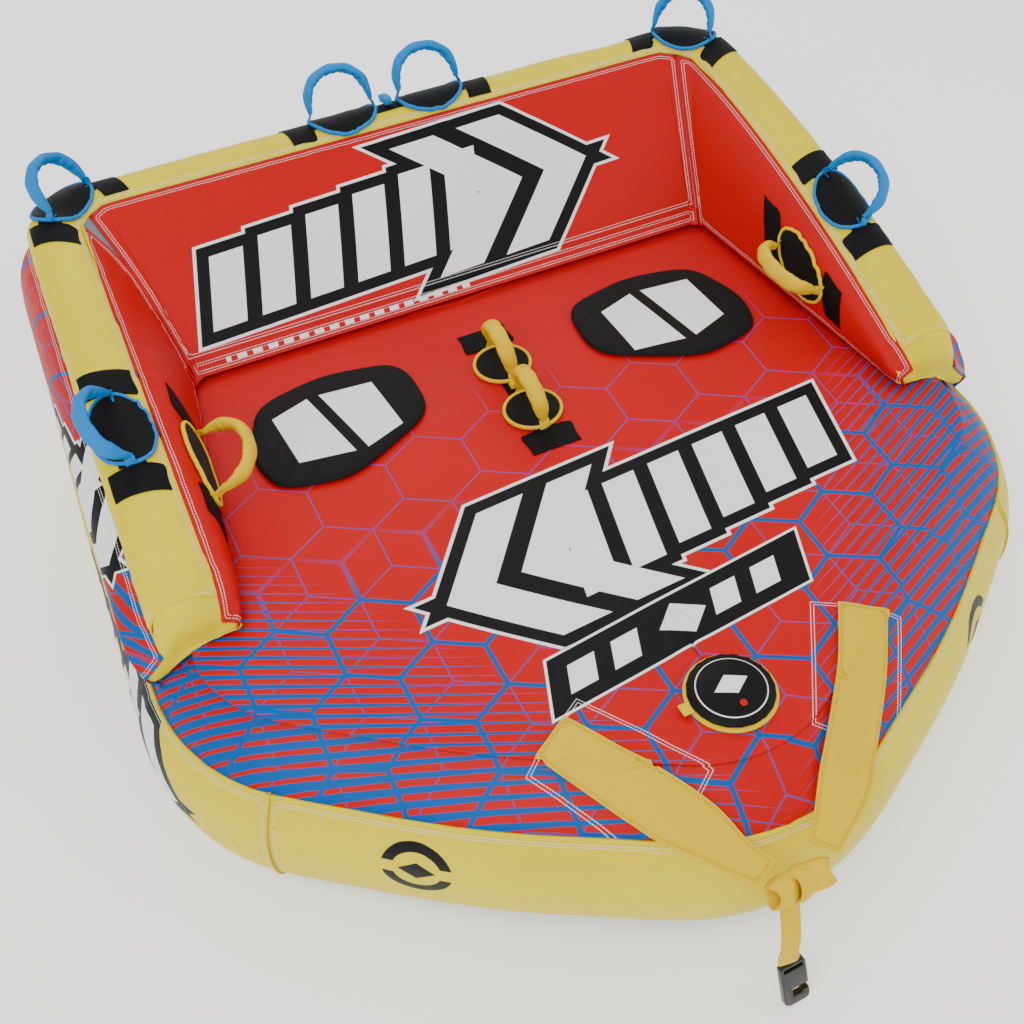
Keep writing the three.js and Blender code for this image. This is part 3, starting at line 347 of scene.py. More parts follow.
def deselect() -> None:
    """Leaves nothing selected and the tool in object mode."""
    if bpy.context.object and bpy.context.object.mode != "OBJECT":
        bpy.ops.object.mode_set(mode="OBJECT")
    bpy.ops.object.select_all(action="DESELECT")


def take(piece: bpy.types.Object) -> bpy.types.Object:
    """Makes a piece the only selected and the active object."""
    deselect()
    piece.select_set(True)
    bpy.context.view_layer.objects.active = piece
    return piece


def as_piece(name: str, bm: bmesh.types.BMesh) -> bpy.types.Object:
    """Turns a bmesh into a new object at the origin, and frees it."""
    mesh = bpy.data.meshes.new(name)
    bm.to_mesh(mesh)
    bm.free()
    piece = bpy.data.objects.new(name, mesh)
    bpy.context.scene.collection.objects.link(piece)
    return piece


def apply_modifiers(piece: bpy.types.Object) -> None:
    """Applies every modifier of a piece in order."""
    take(piece)
    for modifier in list(piece.modifiers):
        bpy.ops.object.modifier_apply(modifier=modifier.name)


def merged(node: str) -> bmesh.types.BMesh:
    """A copy of a CAD node's mesh with its loose triangles merged."""
    bm = bmesh.new()
    bm.from_mesh(frame["nodes"][node].data)
    bmesh.ops.remove_doubles(bm, verts=bm.verts, dist=1e-5)
    bm.normal_update()
    return bm


def tree_of(*pieces: bpy.types.Object) -> BVHTree:
    """A search tree over the faces of several pieces at the origin."""
    bm = bmesh.new()
    for piece in pieces:
        bm.from_mesh(piece.data)
    tree = BVHTree.FromBMesh(bm)
    bm.free()
    return tree


def join_cells(bm: bmesh.types.BMesh) -> None:
    """Joins triangles into the four-sided cells they were cut from: a cell's diagonal is its longest edge."""
    longest = {}
    for face in bm.faces:
        longest[face] = max(face.edges, key=lambda edge: edge.calc_length())
    diagonals = []
    for edge in bm.edges:
        if len(edge.link_faces) == 2 and all(longest[face] is edge for face in edge.link_faces):
            diagonals.append(edge)
    bmesh.ops.dissolve_edges(bm, edges=diagonals, use_verts=False)
    rest = [face for face in bm.faces if len(face.verts) == 3]
    bmesh.ops.join_triangles(bm, faces=rest, angle_face_threshold=3.1, angle_shape_threshold=3.1)


def sheet_where(node: str, keep: Callable[[bmesh.types.BMFace], bool]) -> bmesh.types.BMesh:
    """The faces of a CAD node that a test keeps, as one open sheet of cells."""
    bm = merged(node)
    dropped = [face for face in bm.faces if not keep(face)]
    bmesh.ops.delete(bm, geom=dropped, context="FACES")
    join_cells(bm)
    return bm


def outer_sheet(node: str, core: str) -> bmesh.types.BMesh:
    """The side of a thin CAD panel that faces away from the bladder it covers.

    Args:
        node: The panel.
        core: The bladder under it.

    Returns:
        An open sheet.
    """
    own = tree_of(frame["nodes"][node])
    bladder = tree_of(frame["nodes"][core])

    def faces_out(face: bmesh.types.BMFace) -> bool:
        """Tells the outer side from the inner side and the cut edges."""
        middle = face.calc_center_median()
        through = own.ray_cast(middle - face.normal * 1e-4, -face.normal, 0.0045)[0]
        return through is not None and bladder.ray_cast(middle, face.normal, 0.03)[0] is None

    sheet = sheet_where(node, faces_out)
    ears = [face for face in sheet.faces if len(face.verts) == 3 and sum(e.is_boundary for e in face.edges) == 2]
    bmesh.ops.delete(sheet, geom=ears, context="FACES")
    return sheet


def smooth_through(piece: bpy.types.Object, levels: int, rounds: int = 6) -> None:
    """Subdivides a sheet so that the smooth surface runs through all of its points.

    Args:
        piece: The sheet.
        levels: Times each cell is halved.
        rounds: Times the control points are corrected by how far the surface misses.
    """
    modifier = piece.modifiers.new("smooth", "SUBSURF")
    modifier.levels = modifier.render_levels = levels
    modifier.boundary_smooth = "PRESERVE_CORNERS"
    count = len(piece.data.vertices)
    wanted = np.empty(count * 3)
    piece.data.vertices.foreach_get("co", wanted)
    control = wanted.copy()
    for _ in range(rounds):
        evaluated = piece.evaluated_get(bpy.context.evaluated_depsgraph_get())
        reached = np.empty(len(evaluated.data.vertices) * 3)
        evaluated.data.vertices.foreach_get("co", reached)
        control += wanted - reached[: count * 3]
        piece.data.vertices.foreach_set("co", control)
        piece.data.update()
    apply_modifiers(piece)


def edge_loops(bm: bmesh.types.BMesh) -> list[list[Vector]]:
    """The open borders of a sheet, each as points in order."""
    waiting = {edge for edge in bm.edges if edge.is_boundary}
    loops = []
    while waiting:
        edge = min(waiting, key=lambda item: item.index)
        waiting.discard(edge)
        start, at = edge.verts
        loop = [start.co.copy(), at.co.copy()]
        while at is not start:
            following = [link for link in at.link_edges if link in waiting]
            if not following:
                break
            waiting.discard(following[0])
            at = following[0].other_vert(at)
            loop.append(at.co.copy())
        loops.append(loop)
    return loops


@dataclass(frozen=True)
class Sewing:
    """How the cloth pulls in at its seams."""

    sink: float = 0.0026
    sink_reach: float = 0.011
    pucker: float = 0.0034
    pucker_reach: float = 0.055
    hem: float = 0.007
    pitches: tuple = (0.034, 0.053, 0.081, 0.127)
    swell: float = 0.0016
    swell_size: float = 3.4

    def ripple(self, along: float, key: float) -> float:
        """Height of the puckers at a way along a seam, from -1 to 1, sharper at the top than in the dips."""
        total = 0.0
        for index, pitch in enumerate(self.pitches):
            drift = 0.35 * math.sin(along * 3.1 + key * 1.7 + index)
            total += math.sin(math.tau * along / pitch + key * (index + 1.3) + 5.0 * drift) / len(self.pitches)
        return total * (0.75 + 0.25 * math.sin(along * 6.3 + key))

    def sew(self, piece: bpy.types.Object, key: float) -> None:
        """Sinks and puckers a sheet along its borders, and stores the seam's map on it.

        Args:
            piece: The sheet, whose points move along their normals.
            key: A number that makes its puckers its own.
        """
        bm = bmesh.new()
        bm.from_mesh(piece.data)
        bm.normal_update()
        bm.edges.index_update()
        marks = []
        along = 0.0
        for loop in edge_loops(bm):
            for start, stop in zip(loop, loop[1:]):
                steps = max(1, round((stop - start).length / 0.003))
                for step in range(steps):
                    share = step / steps
                    marks.append((start.lerp(stop, share), along + share * (stop - start).length))
                along += (stop - start).length
        finder = KDTree(len(marks))
        for index, (point, _) in enumerate(marks):
            finder.insert(point, index)
        finder.balance()
        seam = np.zeros((len(bm.verts), 3), dtype=np.float32)
        moved = []
        for vert in bm.verts:
            _, index, distance = finder.find(vert.co)
            run = marks[index][1]
            seam[vert.index] = (distance, run, 0.0)
            held = 1.0 - math.exp(-((distance / self.hem) ** 2))
            gather = self.ripple(run, key) * self.pucker * held * math.exp(-distance / self.pucker_reach)
            calm = self.swell * held * noise.noise(vert.co * self.swell_size + Vector((key, 0.0, 0.0)))
            sink = self.sink * math.exp(-((distance / self.sink_reach) ** 2))
            moved.append(vert.co + vert.normal * (gather + calm - sink))
        for vert, place in zip(bm.verts, moved):
            vert.co = place
        bm.to_mesh(piece.data)
        bm.free()
        layer = piece.data.attributes.new("seam", "FLOAT_VECTOR", "POINT")
        layer.data.foreach_set("vector", seam.ravel())


def map_cloth(piece: bpy.types.Object) -> None:
    """Gives a piece a map in metres from the side it faces most, for its weave."""
    mesh = piece.data
    layer = mesh.uv_layers.new(name="cloth")
    normals = np.empty(len(mesh.polygons) * 3)
    mesh.polygons.foreach_get("normal", normals)
    facing = np.abs(normals.reshape(-1, 3)).argmax(axis=1)
    points = np.empty(len(mesh.vertices) * 3)
    mesh.vertices.foreach_get("co", points)
    points = points.reshape(-1, 3)
    corners = np.empty(len(mesh.loops), dtype=np.int32)
    mesh.loops.foreach_get("vertex_index", corners)
    totals = np.empty(len(mesh.polygons), dtype=np.int32)
    mesh.polygons.foreach_get("loop_total", totals)
    side = np.repeat(facing, totals)
    pairs = np.array([[1, 2], [0, 2], [0, 1]])[side]
    layer.data.foreach_set("uv", np.take_along_axis(points[corners], pairs, axis=1).ravel())


def thicken(piece: bpy.types.Object, thickness: float, offset: float = -1.0) -> None:
    """Gives a sheet its thickness, below its surface by default."""
    modifier = piece.modifiers.new("thickness", "SOLIDIFY")
    modifier.thickness = thickness
    modifier.offset = offset
    apply_modifiers(piece)


def shade_smooth(piece: bpy.types.Object, degrees: float = 40.0) -> None:
    """Shades a piece smooth up to an angle between its faces."""
    take(piece)
    bpy.ops.object.shade_smooth_by_angle(angle=math.radians(degrees))


def lofted(name: str, rings: list[list[Vector]], closed: bool, capped: bool = True) -> bpy.types.Object:
    """Joins rings of points into one closed body.

    Args:
        name: The piece's name.
        rings: Rings with the same number of points.
        closed: Whether the last ring joins the first.
        capped: Whether the end rings are filled.

    Returns:
        The piece, with its faces outwards and a map of metres along and around it.
    """
    bm = bmesh.new()
    layer = bm.loops.layers.uv.new("cloth")
    rows = [[bm.verts.new(point) for point in ring] for ring in rings]
    count = len(rows[0])
    middles = [sum(ring, Vector()) / count for ring in rings]
    around = [sum((a - b).length for a, b in zip(ring, ring[1:] + ring[:1])) for ring in rings]
    along = [0.0]
    for first, second in zip(middles, middles[1:] + middles[:1]):
        along.append(along[-1] + (second - first).length)
    last = len(rows) if closed else len(rows) - 1
    for row in range(last):
        following = (row + 1) % len(rows)
        for index in range(count):
            beside = (index + 1) % count
            corners = [rows[row][index], rows[row][beside], rows[following][beside], rows[following][index]]
            face = bm.faces.new(corners)
            reach = around[row]
            places = (
                (along[row], index / count * reach),
                (along[row], (index + 1) / count * reach),
                (along[row + 1], (index + 1) / count * reach),
                (along[row + 1], index / count * reach),
            )
            for corner, place in zip(face.loops, places):
                corner[layer].uv = place
    if capped and not closed:
        bm.faces.new(rows[0][::-1])
        bm.faces.new(rows[-1])
    bmesh.ops.recalc_face_normals(bm, faces=bm.faces)
    piece = as_piece(name, bm)
    shade_smooth(piece)
    return piece


def swept(
    name: str,
    centres: list[Vector],
    aside: Vector,
    outline: Callable[[int, float], tuple[float, float]],
    sides: int,
    closed: bool = False,
) -> bpy.types.Object:
    """Sweeps an outline along points.

    Args:
        name: The piece's name.
        centres: The points it follows.
        aside: A direction across the sweep, kept square to it.
        outline: Gives how far aside and how far up a point of the outline is, from its row and its turn.
        sides: Points of the outline.
        closed: Whether the sweep is a loop.

    Returns:
        The piece.
    """
    rings = []
    last = len(centres) - 1
    for row, centre in enumerate(centres):
        if closed:
            run = centres[(row + 1) % len(centres)] - centres[row - 1]
        else:
            run = centres[min(row + 1, last)] - centres[max(row - 1, 0)]
        run.normalize()
        across = (aside - run * aside.dot(run)).normalized()
        up = run.cross(across)
        ring = []
        for index in range(sides):
            along, rise = outline(row, index / sides * math.tau)
            ring.append(centre + across * along + up * rise)
        rings.append(ring)
    return lofted(name, rings, closed)


def spline(points: list[Vector], count: int) -> list[Vector]:
    """Evenly spaced points on a smooth curve through some points."""
    padded = [points[0] * 2 - points[1], *points, points[-1] * 2 - points[-2]]
    fine = []
    steps = 24
    for a, b, c, d in zip(padded, padded[1:], padded[2:], padded[3:]):
        for step in range(steps):
            t = step / steps
            fine.append(
                0.5 * ((2 * b) + (c - a) * t + (2 * a - 5 * b + 4 * c - d) * t**2 + (3 * b - a - 3 * c + d) * t**3)
            )
    fine.append(points[-1].copy())
    runs = [0.0]
    for first, second in zip(fine, fine[1:]):
        runs.append(runs[-1] + (second - first).length)
    result = []
    at = 0
    for index in range(count):
        target = runs[-1] * index / (count - 1)
        while at + 2 < len(fine) and runs[at + 1] < target:
            at += 1
        span = runs[at + 1] - runs[at] or 1.0
        result.append(fine[at].lerp(fine[at + 1], min(max((target - runs[at]) / span, 0.0), 1.0)))
    return result


def on_surface(tree: BVHTree, point: Vector, height: float) -> Vector:
    """The nearest place on a surface, raised above it."""
    place, normal, _, _ = tree.find_nearest(point)
    return place + normal * height


# ---- Finishes ----

Painter = Callable[["Wiring", bpy.types.NodeSocket, object], object]


@dataclass(frozen=True)
class Cloth:
    """A coated or woven cloth, webbing or foam with its weave, wear and stitches."""

    name: str
    tone: Tone
    roughness: float = 0.46
    threads: float = 850.0
    weave: float = 0.00009
    crease: float = 0.0006
    sheen: float = 0.0
    shine: float = 0.16
    rows: tuple = ()
    thread: Tone = Tone.WHITE
    coat: float = 0.0

    def build(self, effects: Effects, paint: Painter | None = None) -> bpy.types.Material:
        """Builds the material.

        Args:
            effects: The shared node groups.
            paint: Adds a print to the ground colour, if the cloth has one.

        Returns:
            The material.
        """
        material = bpy.data.materials.new(self.name)
        material.use_nodes = True
        w = Wiring(material.node_tree)
        shader = w.tree.nodes["Principled BSDF"]
        where = w.add("TexCoord").outputs["Object"]
        cloth_map = w.add("UVMap", uv_map="cloth").outputs[0]
        weave = w.group(effects.weave, Vector=cloth_map, Threads=self.threads)
        wear = w.group(effects.wear, Vector=where, Roughness=self.roughness)
        colour = self.tone.value
        if paint:
            colour = paint(w, where, colour)
        height = w.math("MULTIPLY", weave.outputs["Height"], self.weave)
        height = w.math("MULTIPLY_ADD", wear.outputs["Crease"], self.crease, height)
        if self.rows:
            parts = w.add("SeparateXYZ")
            w.feed(parts.inputs[0], w.add("Attribute", attribute_name="seam").outputs["Vector"])
            for offset in self.rows:
                row = w.group(effects.stitch, Distance=parts.outputs[0], Along=parts.outputs[1], Offset=offset)
                colour = w.mix(w.math("MULTIPLY", row.outputs["Mask"], 0.62), colour, self.thread.value)
                height = w.math("MULTIPLY_ADD", row.outputs["Mask"], 0.0004, height)
        if not isinstance(colour, bpy.types.NodeSocket):
            colour = w.mix(0.0, colour, colour)
        # Painted shade in the weave's thread gaps, times the uneven dye from the wear group, scales the base colour.
        shade = w.math("MULTIPLY", weave.outputs["Shade"], wear.outputs["Shade"])
        shaded = w.vector("SCALE", colour)
        w.feed(shaded.node.inputs["Scale"], shade)
        w.feed(shader.inputs["Base Color"], shaded)
        w.feed(shader.inputs["Roughness"], wear.outputs["Roughness"])
        bump = w.add("Bump")
        bump.inputs["Distance"].default_value = 1.0
        w.feed(bump.inputs["Height"], height)
        w.feed(shader.inputs["Normal"], bump.outputs[0])
        shader.inputs["Sheen Weight"].default_value = self.sheen
        shader.inputs["Specular IOR Level"].default_value = self.shine
        shader.inputs["Coat Weight"].default_value = self.coat
        return material


@dataclass(frozen=True)
class Moulded:
    """A moulded plastic or metal with fine grain and rubbed patches."""

    name: str
    tone: Tone
    roughness: float = 0.4
    metallic: float = 0.0
    grain: float = 0.00008

    def build(self, effects: Effects) -> bpy.types.Material:
        """Builds the material from the shared groups."""
        material = bpy.data.materials.new(self.name)
        material.use_nodes = True
        w = Wiring(material.node_tree)
        shader = w.tree.nodes["Principled BSDF"]
        where = w.add("TexCoord").outputs["Object"]
        wear = w.group(effects.wear, Vector=where, Roughness=self.roughness)
        shaded = w.vector("SCALE", self.tone.value)
        w.feed(shaded.node.inputs["Scale"], wear.outputs["Shade"])
        w.feed(shader.inputs["Base Color"], shaded)
        w.feed(shader.inputs["Roughness"], wear.outputs["Roughness"])
        bump = w.add("Bump")
        bump.inputs["Distance"].default_value = 1.0
        w.feed(bump.inputs["Height"], w.math("MULTIPLY", w.noise(where, 900.0, 3.0), self.grain))
        w.feed(shader.inputs["Normal"], bump.outputs[0])
        shader.inputs["Metallic"].default_value = self.metallic
        return material


@dataclass
class Prints:
    """The printed cloth's artwork: hexagons, speed stripes and marks. It has no lettering."""

    effects: Effects
    bars: bpy.types.NodeTree = field(init=False)
    badge: bpy.types.NodeTree = field(init=False)
    roundel: bpy.types.NodeTree = field(init=False)
    seat: bpy.types.NodeTree = field(init=False)
    hexagon: float = 0.16
    outline: float = 0.026
    rim: float = 0.033

    def __post_init__(self) -> None:
        """Builds the marks' groups."""
        self.bars = Mark("racing_bars", racing_bars()).group()
        waves = [slanted(x, x + 0.055, -0.027, 0.027, 0.5) for x in (-0.225, -0.135, 0.08, 0.17)]
        diamond = ((0.0, -0.038), (0.05, 0.0), (0.0, 0.038), (-0.05, 0.0))
        self.badge = Mark("badge_waves", (*waves, diamond)).group()
        lozenge = ((0.0, -0.021), (0.033, 0.0), (0.0, 0.021), (-0.033, 0.0))
        self.roundel = Mark("roundel_lozenge", (lozenge,)).group()
        left_flash = ((-0.105, -0.07), (0.006, -0.085), (-0.034, 0.085), (-0.115, 0.06))
        right_flash = ((0.031, -0.085), (0.115, -0.055), (0.1, 0.075), (-0.009, 0.085))
        self.seat = Mark("seat_flashes", (left_flash, right_flash)).group()

    def mark(self, w: Wiring, ground: object, group: bpy.types.NodeTree, where: object, **looks: object) -> object:
        """Prints a mark.

        Args:
            w: The material's wiring.
            ground: The colour under it.
            group: The mark's node group.
            where: Coordinates in the mark's own frame.
            looks: Its fill and line tones, and its line and rim widths.

        Returns:
            The colour with the mark on it.
        """
        distance = w.group(group, Vector=where).outputs["Distance"]
        soft = 0.0006
        line, rim = looks.get("line", self.outline), looks.get("rim", 0.0)
        if rim:
            edge = w.ramp(distance, line + rim + soft, line + rim - soft)
            ground = w.mix(edge, ground, looks.get("fill", Tone.WHITE).value)
        if line:
            edge = w.ramp(distance, line + soft, line - soft)
            ground = w.mix(edge, ground, looks.get("ink", Tone.BLACK).value)
        return w.mix(w.ramp(distance, soft, -soft), ground, looks.get("fill", Tone.WHITE).value)

    def hexagons(self, w: Wiring, ground: object, where: object, bold: object, fine: object) -> object:
        """Prints the hexagons, each kind of line with its own strength."""
        group = w.group(self.effects.hexagons, Vector=where, Size=self.hexagon)
        thin = w.math("MULTIPLY", group.outputs["Spoke"], fine)
        thick = w.math("MULTIPLY", group.outputs["Outline"], bold)
        strength = w.math("MAXIMUM", w.math("MULTIPLY", thin, 0.75), thick)
        return w.mix(strength, ground, Tone.PRINT_BLUE.value)

    def stripes(self, w: Wiring, ground: object, height: object, share: object, pitch: float = 0.0195) -> object:
        """Prints stripes across a coordinate, whose blue share of the pitch changes over the cloth."""
        phase = w.math("FRACT", w.math("DIVIDE", height, pitch))
        tent = w.math("ABSOLUTE", w.math("MULTIPLY_ADD", phase, 2.0, -1.0))
        over = w.math("SUBTRACT", share, tent)
        return w.mix(w.ramp(over, -0.03, 0.03), ground, Tone.PRINT_BLUE.value)

    def deck(self, w: Wiring, where: object, ground: object) -> object:
        """The deck: stripes at the shoulders, hexagons ahead of the seats, a large mark and a badge."""
        parts = w.add("SeparateXYZ")
        w.feed(parts.inputs[0], where)
        aside = w.math("ABSOLUTE", parts.outputs[0])
        forward = w.math("MULTIPLY", parts.outputs[1], -1.0)
        share = w.math("MULTIPLY_ADD", aside, 1.65, w.math("MULTIPLY_ADD", forward, 1.18, -1.02))
        ahead = w.ramp(forward, -0.12, 0.16)
        turn = math.radians(25.5)
        height = w.math("MULTIPLY_ADD", aside, math.sin(turn), w.math("MULTIPLY", forward, math.cos(turn)))
        colour = self.stripes(w, ground, height, w.math("MULTIPLY", share, ahead))
        colour = self.hexagons(w, colour, where, w.ramp(forward, 0.02, 0.2), w.ramp(forward, -0.26, -0.05))
        frame_point = w.placed(where, (0.0, -0.238, 0.0), (0.0, 0.0, math.radians(184.0)), (0.95, 0.94, 1.0))
        colour = self.mark(w, colour, self.bars, frame_point, rim=self.rim - self.outline)
        plate = w.placed(where, (0.012, -0.472, 0.0), (0.0, 0.0, math.radians(187.0)))
        colour = self.badge_on(w, colour, plate)
        for side in ("left", "right"):
            colour = self.anchor_stitches(w, colour, where, side)
        return colour

    def anchor_stitches(self, w: Wiring, ground: object, where: object, side: str) -> object:
        """The white stitched box round a tow strap's anchor."""
        low, high = (Vector(corner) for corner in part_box(f"{side}_tow_strap"))
        outward = -1.0 if side == "left" else 1.0
        near = low.x if side == "left" else high.x
        start = Vector((near - outward * 0.055, high.y - 0.035))
        stop = Vector((near - outward * 0.17, high.y - 0.215))
        run = stop - start
        turn = math.atan2(run.y, run.x)
        local = w.placed(where, ((start.x + stop.x) / 2, (start.y + stop.y) / 2, 0.0), (0.0, 0.0, turn))
        reach = run.length / 2 + 0.014
        box = ((-reach, -0.074), (reach, -0.074), (reach, 0.074), (-reach, 0.074))
        distance = w.group(Mark(f"{side}_anchor_box", (box,)).group(), Vector=local).outputs["Distance"]
        run_along = w.math("ADD", w.separate(local, 0), w.separate(local, 1))
        for offset in (0.001, 0.0065):
            row = w.group(self.effects.stitch, Distance=distance, Along=run_along, Offset=offset)
            ground = w.mix(w.math("MULTIPLY", row.outputs["Mask"], 0.7), ground, Tone.WHITE.value)
        return ground

    def badge_on(self, w: Wiring, ground: object, where: object) -> object:
        """A black slanted badge with a white edge, white waves and a diamond."""
        plate = Mark("badge_plate", (slanted(-0.285, 0.245, -0.047, 0.047, 0.5),)).group()
        colour = self.mark(w, ground, plate, where, line=0.008, rim=0.005, fill=Tone.BLACK)
        edge = w.group(plate, Vector=where).outputs["Distance"]
        ring = w.math("MULTIPLY", w.ramp(edge, 0.007, 0.008), w.ramp(edge, 0.013, 0.012))
        colour = w.mix(ring, colour, Tone.WHITE.value)
        return self.mark(w, colour, self.badge, where, line=0.0)

    def backrest(self, w: Wiring, where: object, ground: object) -> object:
        """The backrest: the large mark and a dashed line below it."""
        lean = math.atan2(0.246, 0.32)
        slope = w.placed(where, (0.0, 0.60, 0.52), (lean, 0.0, 0.0))
        centred = w.placed(slope, (0.02, 0.02, 0.0), (0.0, 0.0, math.radians(2.0)), (0.98, 0.86, 1.0))
        colour = self.mark(w, ground, self.bars, centred, rim=self.rim - self.outline)
        parts = w.add("SeparateXYZ")
        w.feed(parts.inputs[0], slope)
        row = w.math("ABSOLUTE", w.math("ADD", parts.outputs[1], 0.158))
        inside = w.math("LESS_THAN", w.math("ABSOLUTE", w.math("ADD", parts.outputs[0], 0.24)), 0.27)
        dash = w.math("GREATER_THAN", w.math("FRACT", w.math("MULTIPLY", parts.outputs[0], 30.0)), 0.4)
        line = w.math("MULTIPLY", w.math("MULTIPLY", inside, dash), w.ramp(row, 0.0055, 0.0045))
        return w.mix(line, colour, Tone.WHITE.value)

    def outer(self, w: Wiring, where: object, ground: object) -> object:
        """The outside of the bolster: hexagons and stripes on red, with the mark along each side."""
        parts = w.add("SeparateXYZ")
        w.feed(parts.inputs[0], where)
        flat = w.add("CombineXYZ")
        w.feed(flat.inputs[0], w.math("ADD", parts.outputs[1], parts.outputs[0]))
        w.feed(flat.inputs[1], parts.outputs[2])
        share = w.math("MULTIPLY_ADD", parts.outputs[1], -0.75, 0.42)
        colour = self.stripes(w, ground, parts.outputs[2], share)
        colour = self.hexagons(w, colour, flat.outputs[0], 1.0, 1.0)
        mirrored = w.add("CombineXYZ")
        side = w.math("SIGN", parts.outputs[0])
        w.feed(mirrored.inputs[0], w.math("MULTIPLY", w.math("SUBTRACT", parts.outputs[1], 0.24), side))
        w.feed(mirrored.inputs[1], parts.outputs[2])
        placed = w.placed(mirrored.outputs[0], (0.0, 0.45, 0.0), (0.0, 0.0, 0.0), (0.55, 0.55, 1.0))
        beside = w.math("GREATER_THAN", w.math("ABSOLUTE", parts.outputs[0]), 0.71)
        marked = self.mark(w, colour, self.bars, placed, rim=self.rim - self.outline)
        return w.mix(beside, colour, marked)

    def side_band(self, w: Wiring, where: object, ground: object) -> object:
        """The side wall: the mark in black with a white fill on each side."""
        parts = w.add("SeparateXYZ")
        w.feed(parts.inputs[0], where)
        side = w.math("SIGN", parts.outputs[0])
        flat = w.add("CombineXYZ")
        w.feed(flat.inputs[0], w.math("MULTIPLY", parts.outputs[1], side))
        w.feed(flat.inputs[1], parts.outputs[2])
        placed = w.placed(flat.outputs[0], (0.06, 0.178, 0.0), (0.0, 0.0, 0.0), (0.66, 0.62, 1.0))
        beside = w.math("GREATER_THAN", w.math("ABSOLUTE", parts.outputs[0]), 0.74)
        marked = self.mark(w, ground, self.bars, placed, line=0.034, rim=0.0)
        return w.mix(beside, ground, marked)

    def front_band(self, w: Wiring, where: object, ground: object) -> object:
        """The front wall: a roundel on each side of the nose."""
        colour = ground
        for side in (-1.0, 1.0):
            local = w.placed(where, (side * 0.568, -0.63, 0.245), (math.radians(90.0), 0.0, side * math.radians(33.0)))
            flat = w.vector("MULTIPLY", local, (1.0, 1.0, 0.0))
            radius = w.vector("LENGTH", flat, out="Value")
            here = w.math("LESS_THAN", w.math("ABSOLUTE", w.math("SUBTRACT", w.separate(where, 0), side * 0.568)), 0.2)
            ring = w.math("MULTIPLY", w.ramp(radius, 0.0415, 0.043), w.ramp(radius, 0.0625, 0.061))
            broken = w.math("GREATER_THAN", w.math("ABSOLUTE", w.separate(local, 1)), 0.014)
            painted = w.mix(w.math("MULTIPLY", ring, broken), colour, Tone.BLACK.value)
            painted = self.mark(w, painted, self.roundel, flat, line=0.0, fill=Tone.BLACK)
            colour = w.mix(here, colour, painted)
        return colour

    def seat_pad(self, w: Wiring, where: object, ground: object) -> object:
        """The seat pads: two plain white areas on black, parted by a slanted line."""
        parts = w.add("SeparateXYZ")
        w.feed(parts.inputs[0], where)
        flat = w.add("CombineXYZ")
        middle = Vector(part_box("right_seat_pad")[0]).lerp(Vector(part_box("right_seat_pad")[1]), 0.5)
        side = w.math("SIGN", parts.outputs[0])
        w.feed(flat.inputs[0], w.math("MULTIPLY_ADD", side, -middle.x, parts.outputs[0]))
        w.feed(flat.inputs[1], w.math("SUBTRACT", parts.outputs[1], middle.y))
        up = w.math("GREATER_THAN", parts.outputs[2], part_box("right_seat_pad")[0][2] + 0.006)
        marked = self.mark(w, ground, self.seat, flat.outputs[0], line=0.0)
        return w.mix(up, ground, marked)


# ---- Sub-assemblies ----


@dataclass
class Shop:
    """What every sub-assembly works with: the shared effects, the prints and the materials made so far."""

    effects: Effects
    prints: Prints
    made: dict = field(default_factory=dict)
    deck: BVHTree = None
    bolster: BVHTree = None

    def cover_tree(self, name: str) -> BVHTree:
        """The cover that a handle lies on."""
        return self.deck if name.startswith("deck") else self.bolster

    def dress(self, piece: bpy.types.Object, finish: Cloth | Moulded, paint: Painter | None = None) -> None:
        """Puts a finish on a piece, built the first time it is used."""
        if finish.name not in self.made:
            self.made[finish.name] = finish.build(self.effects, paint) if paint else finish.build(self.effects)
        piece.data.materials.clear()
        piece.data.materials.append(self.made[finish.name])

    def hand_over(self, piece: bpy.types.Object, body: str, slot: str, *nodes: str) -> None:
        """Attaches a finished piece to the body it rides on, hides the CAD nodes it stands for, and logs it."""
        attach(piece, body)
        if nodes:
            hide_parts(*nodes)
        log.info("%s: %d faces, on %s", piece.name, len(piece.data.polygons), body)


SEAMS = (0.0075, 0.0125)
RED_NYLON = Cloth("red_nylon", Tone.RED, rows=SEAMS)
DECK_NYLON = Cloth("deck_nylon", Tone.RED, rows=SEAMS)
BACKREST_NYLON = Cloth("backrest_nylon", Tone.RED, rows=SEAMS)
OUTER_NYLON = Cloth("outer_nylon", Tone.RED, rows=SEAMS)
YELLOW_NYLON = Cloth("yellow_nylon", Tone.YELLOW, rows=SEAMS)
SIDE_NYLON = Cloth("side_nylon", Tone.YELLOW, rows=SEAMS)
FRONT_NYLON = Cloth("front_nylon", Tone.YELLOW, rows=SEAMS)
TIP_NYLON = Cloth("tip_nylon", Tone.YELLOW)
SKIRT_NYLON = Cloth("skirt_nylon", Tone.RED)
BOTTOM_NYLON = Cloth("bottom_nylon", Tone.BLACK, roughness=0.6, threads=500.0, weave=0.0002, rows=SEAMS)


@dataclass(frozen=True)
class Panel:
    """One sewn panel of the cover."""

    node: str
    core: str
    slot: str
    finish: Cloth
    paint: str | None = None


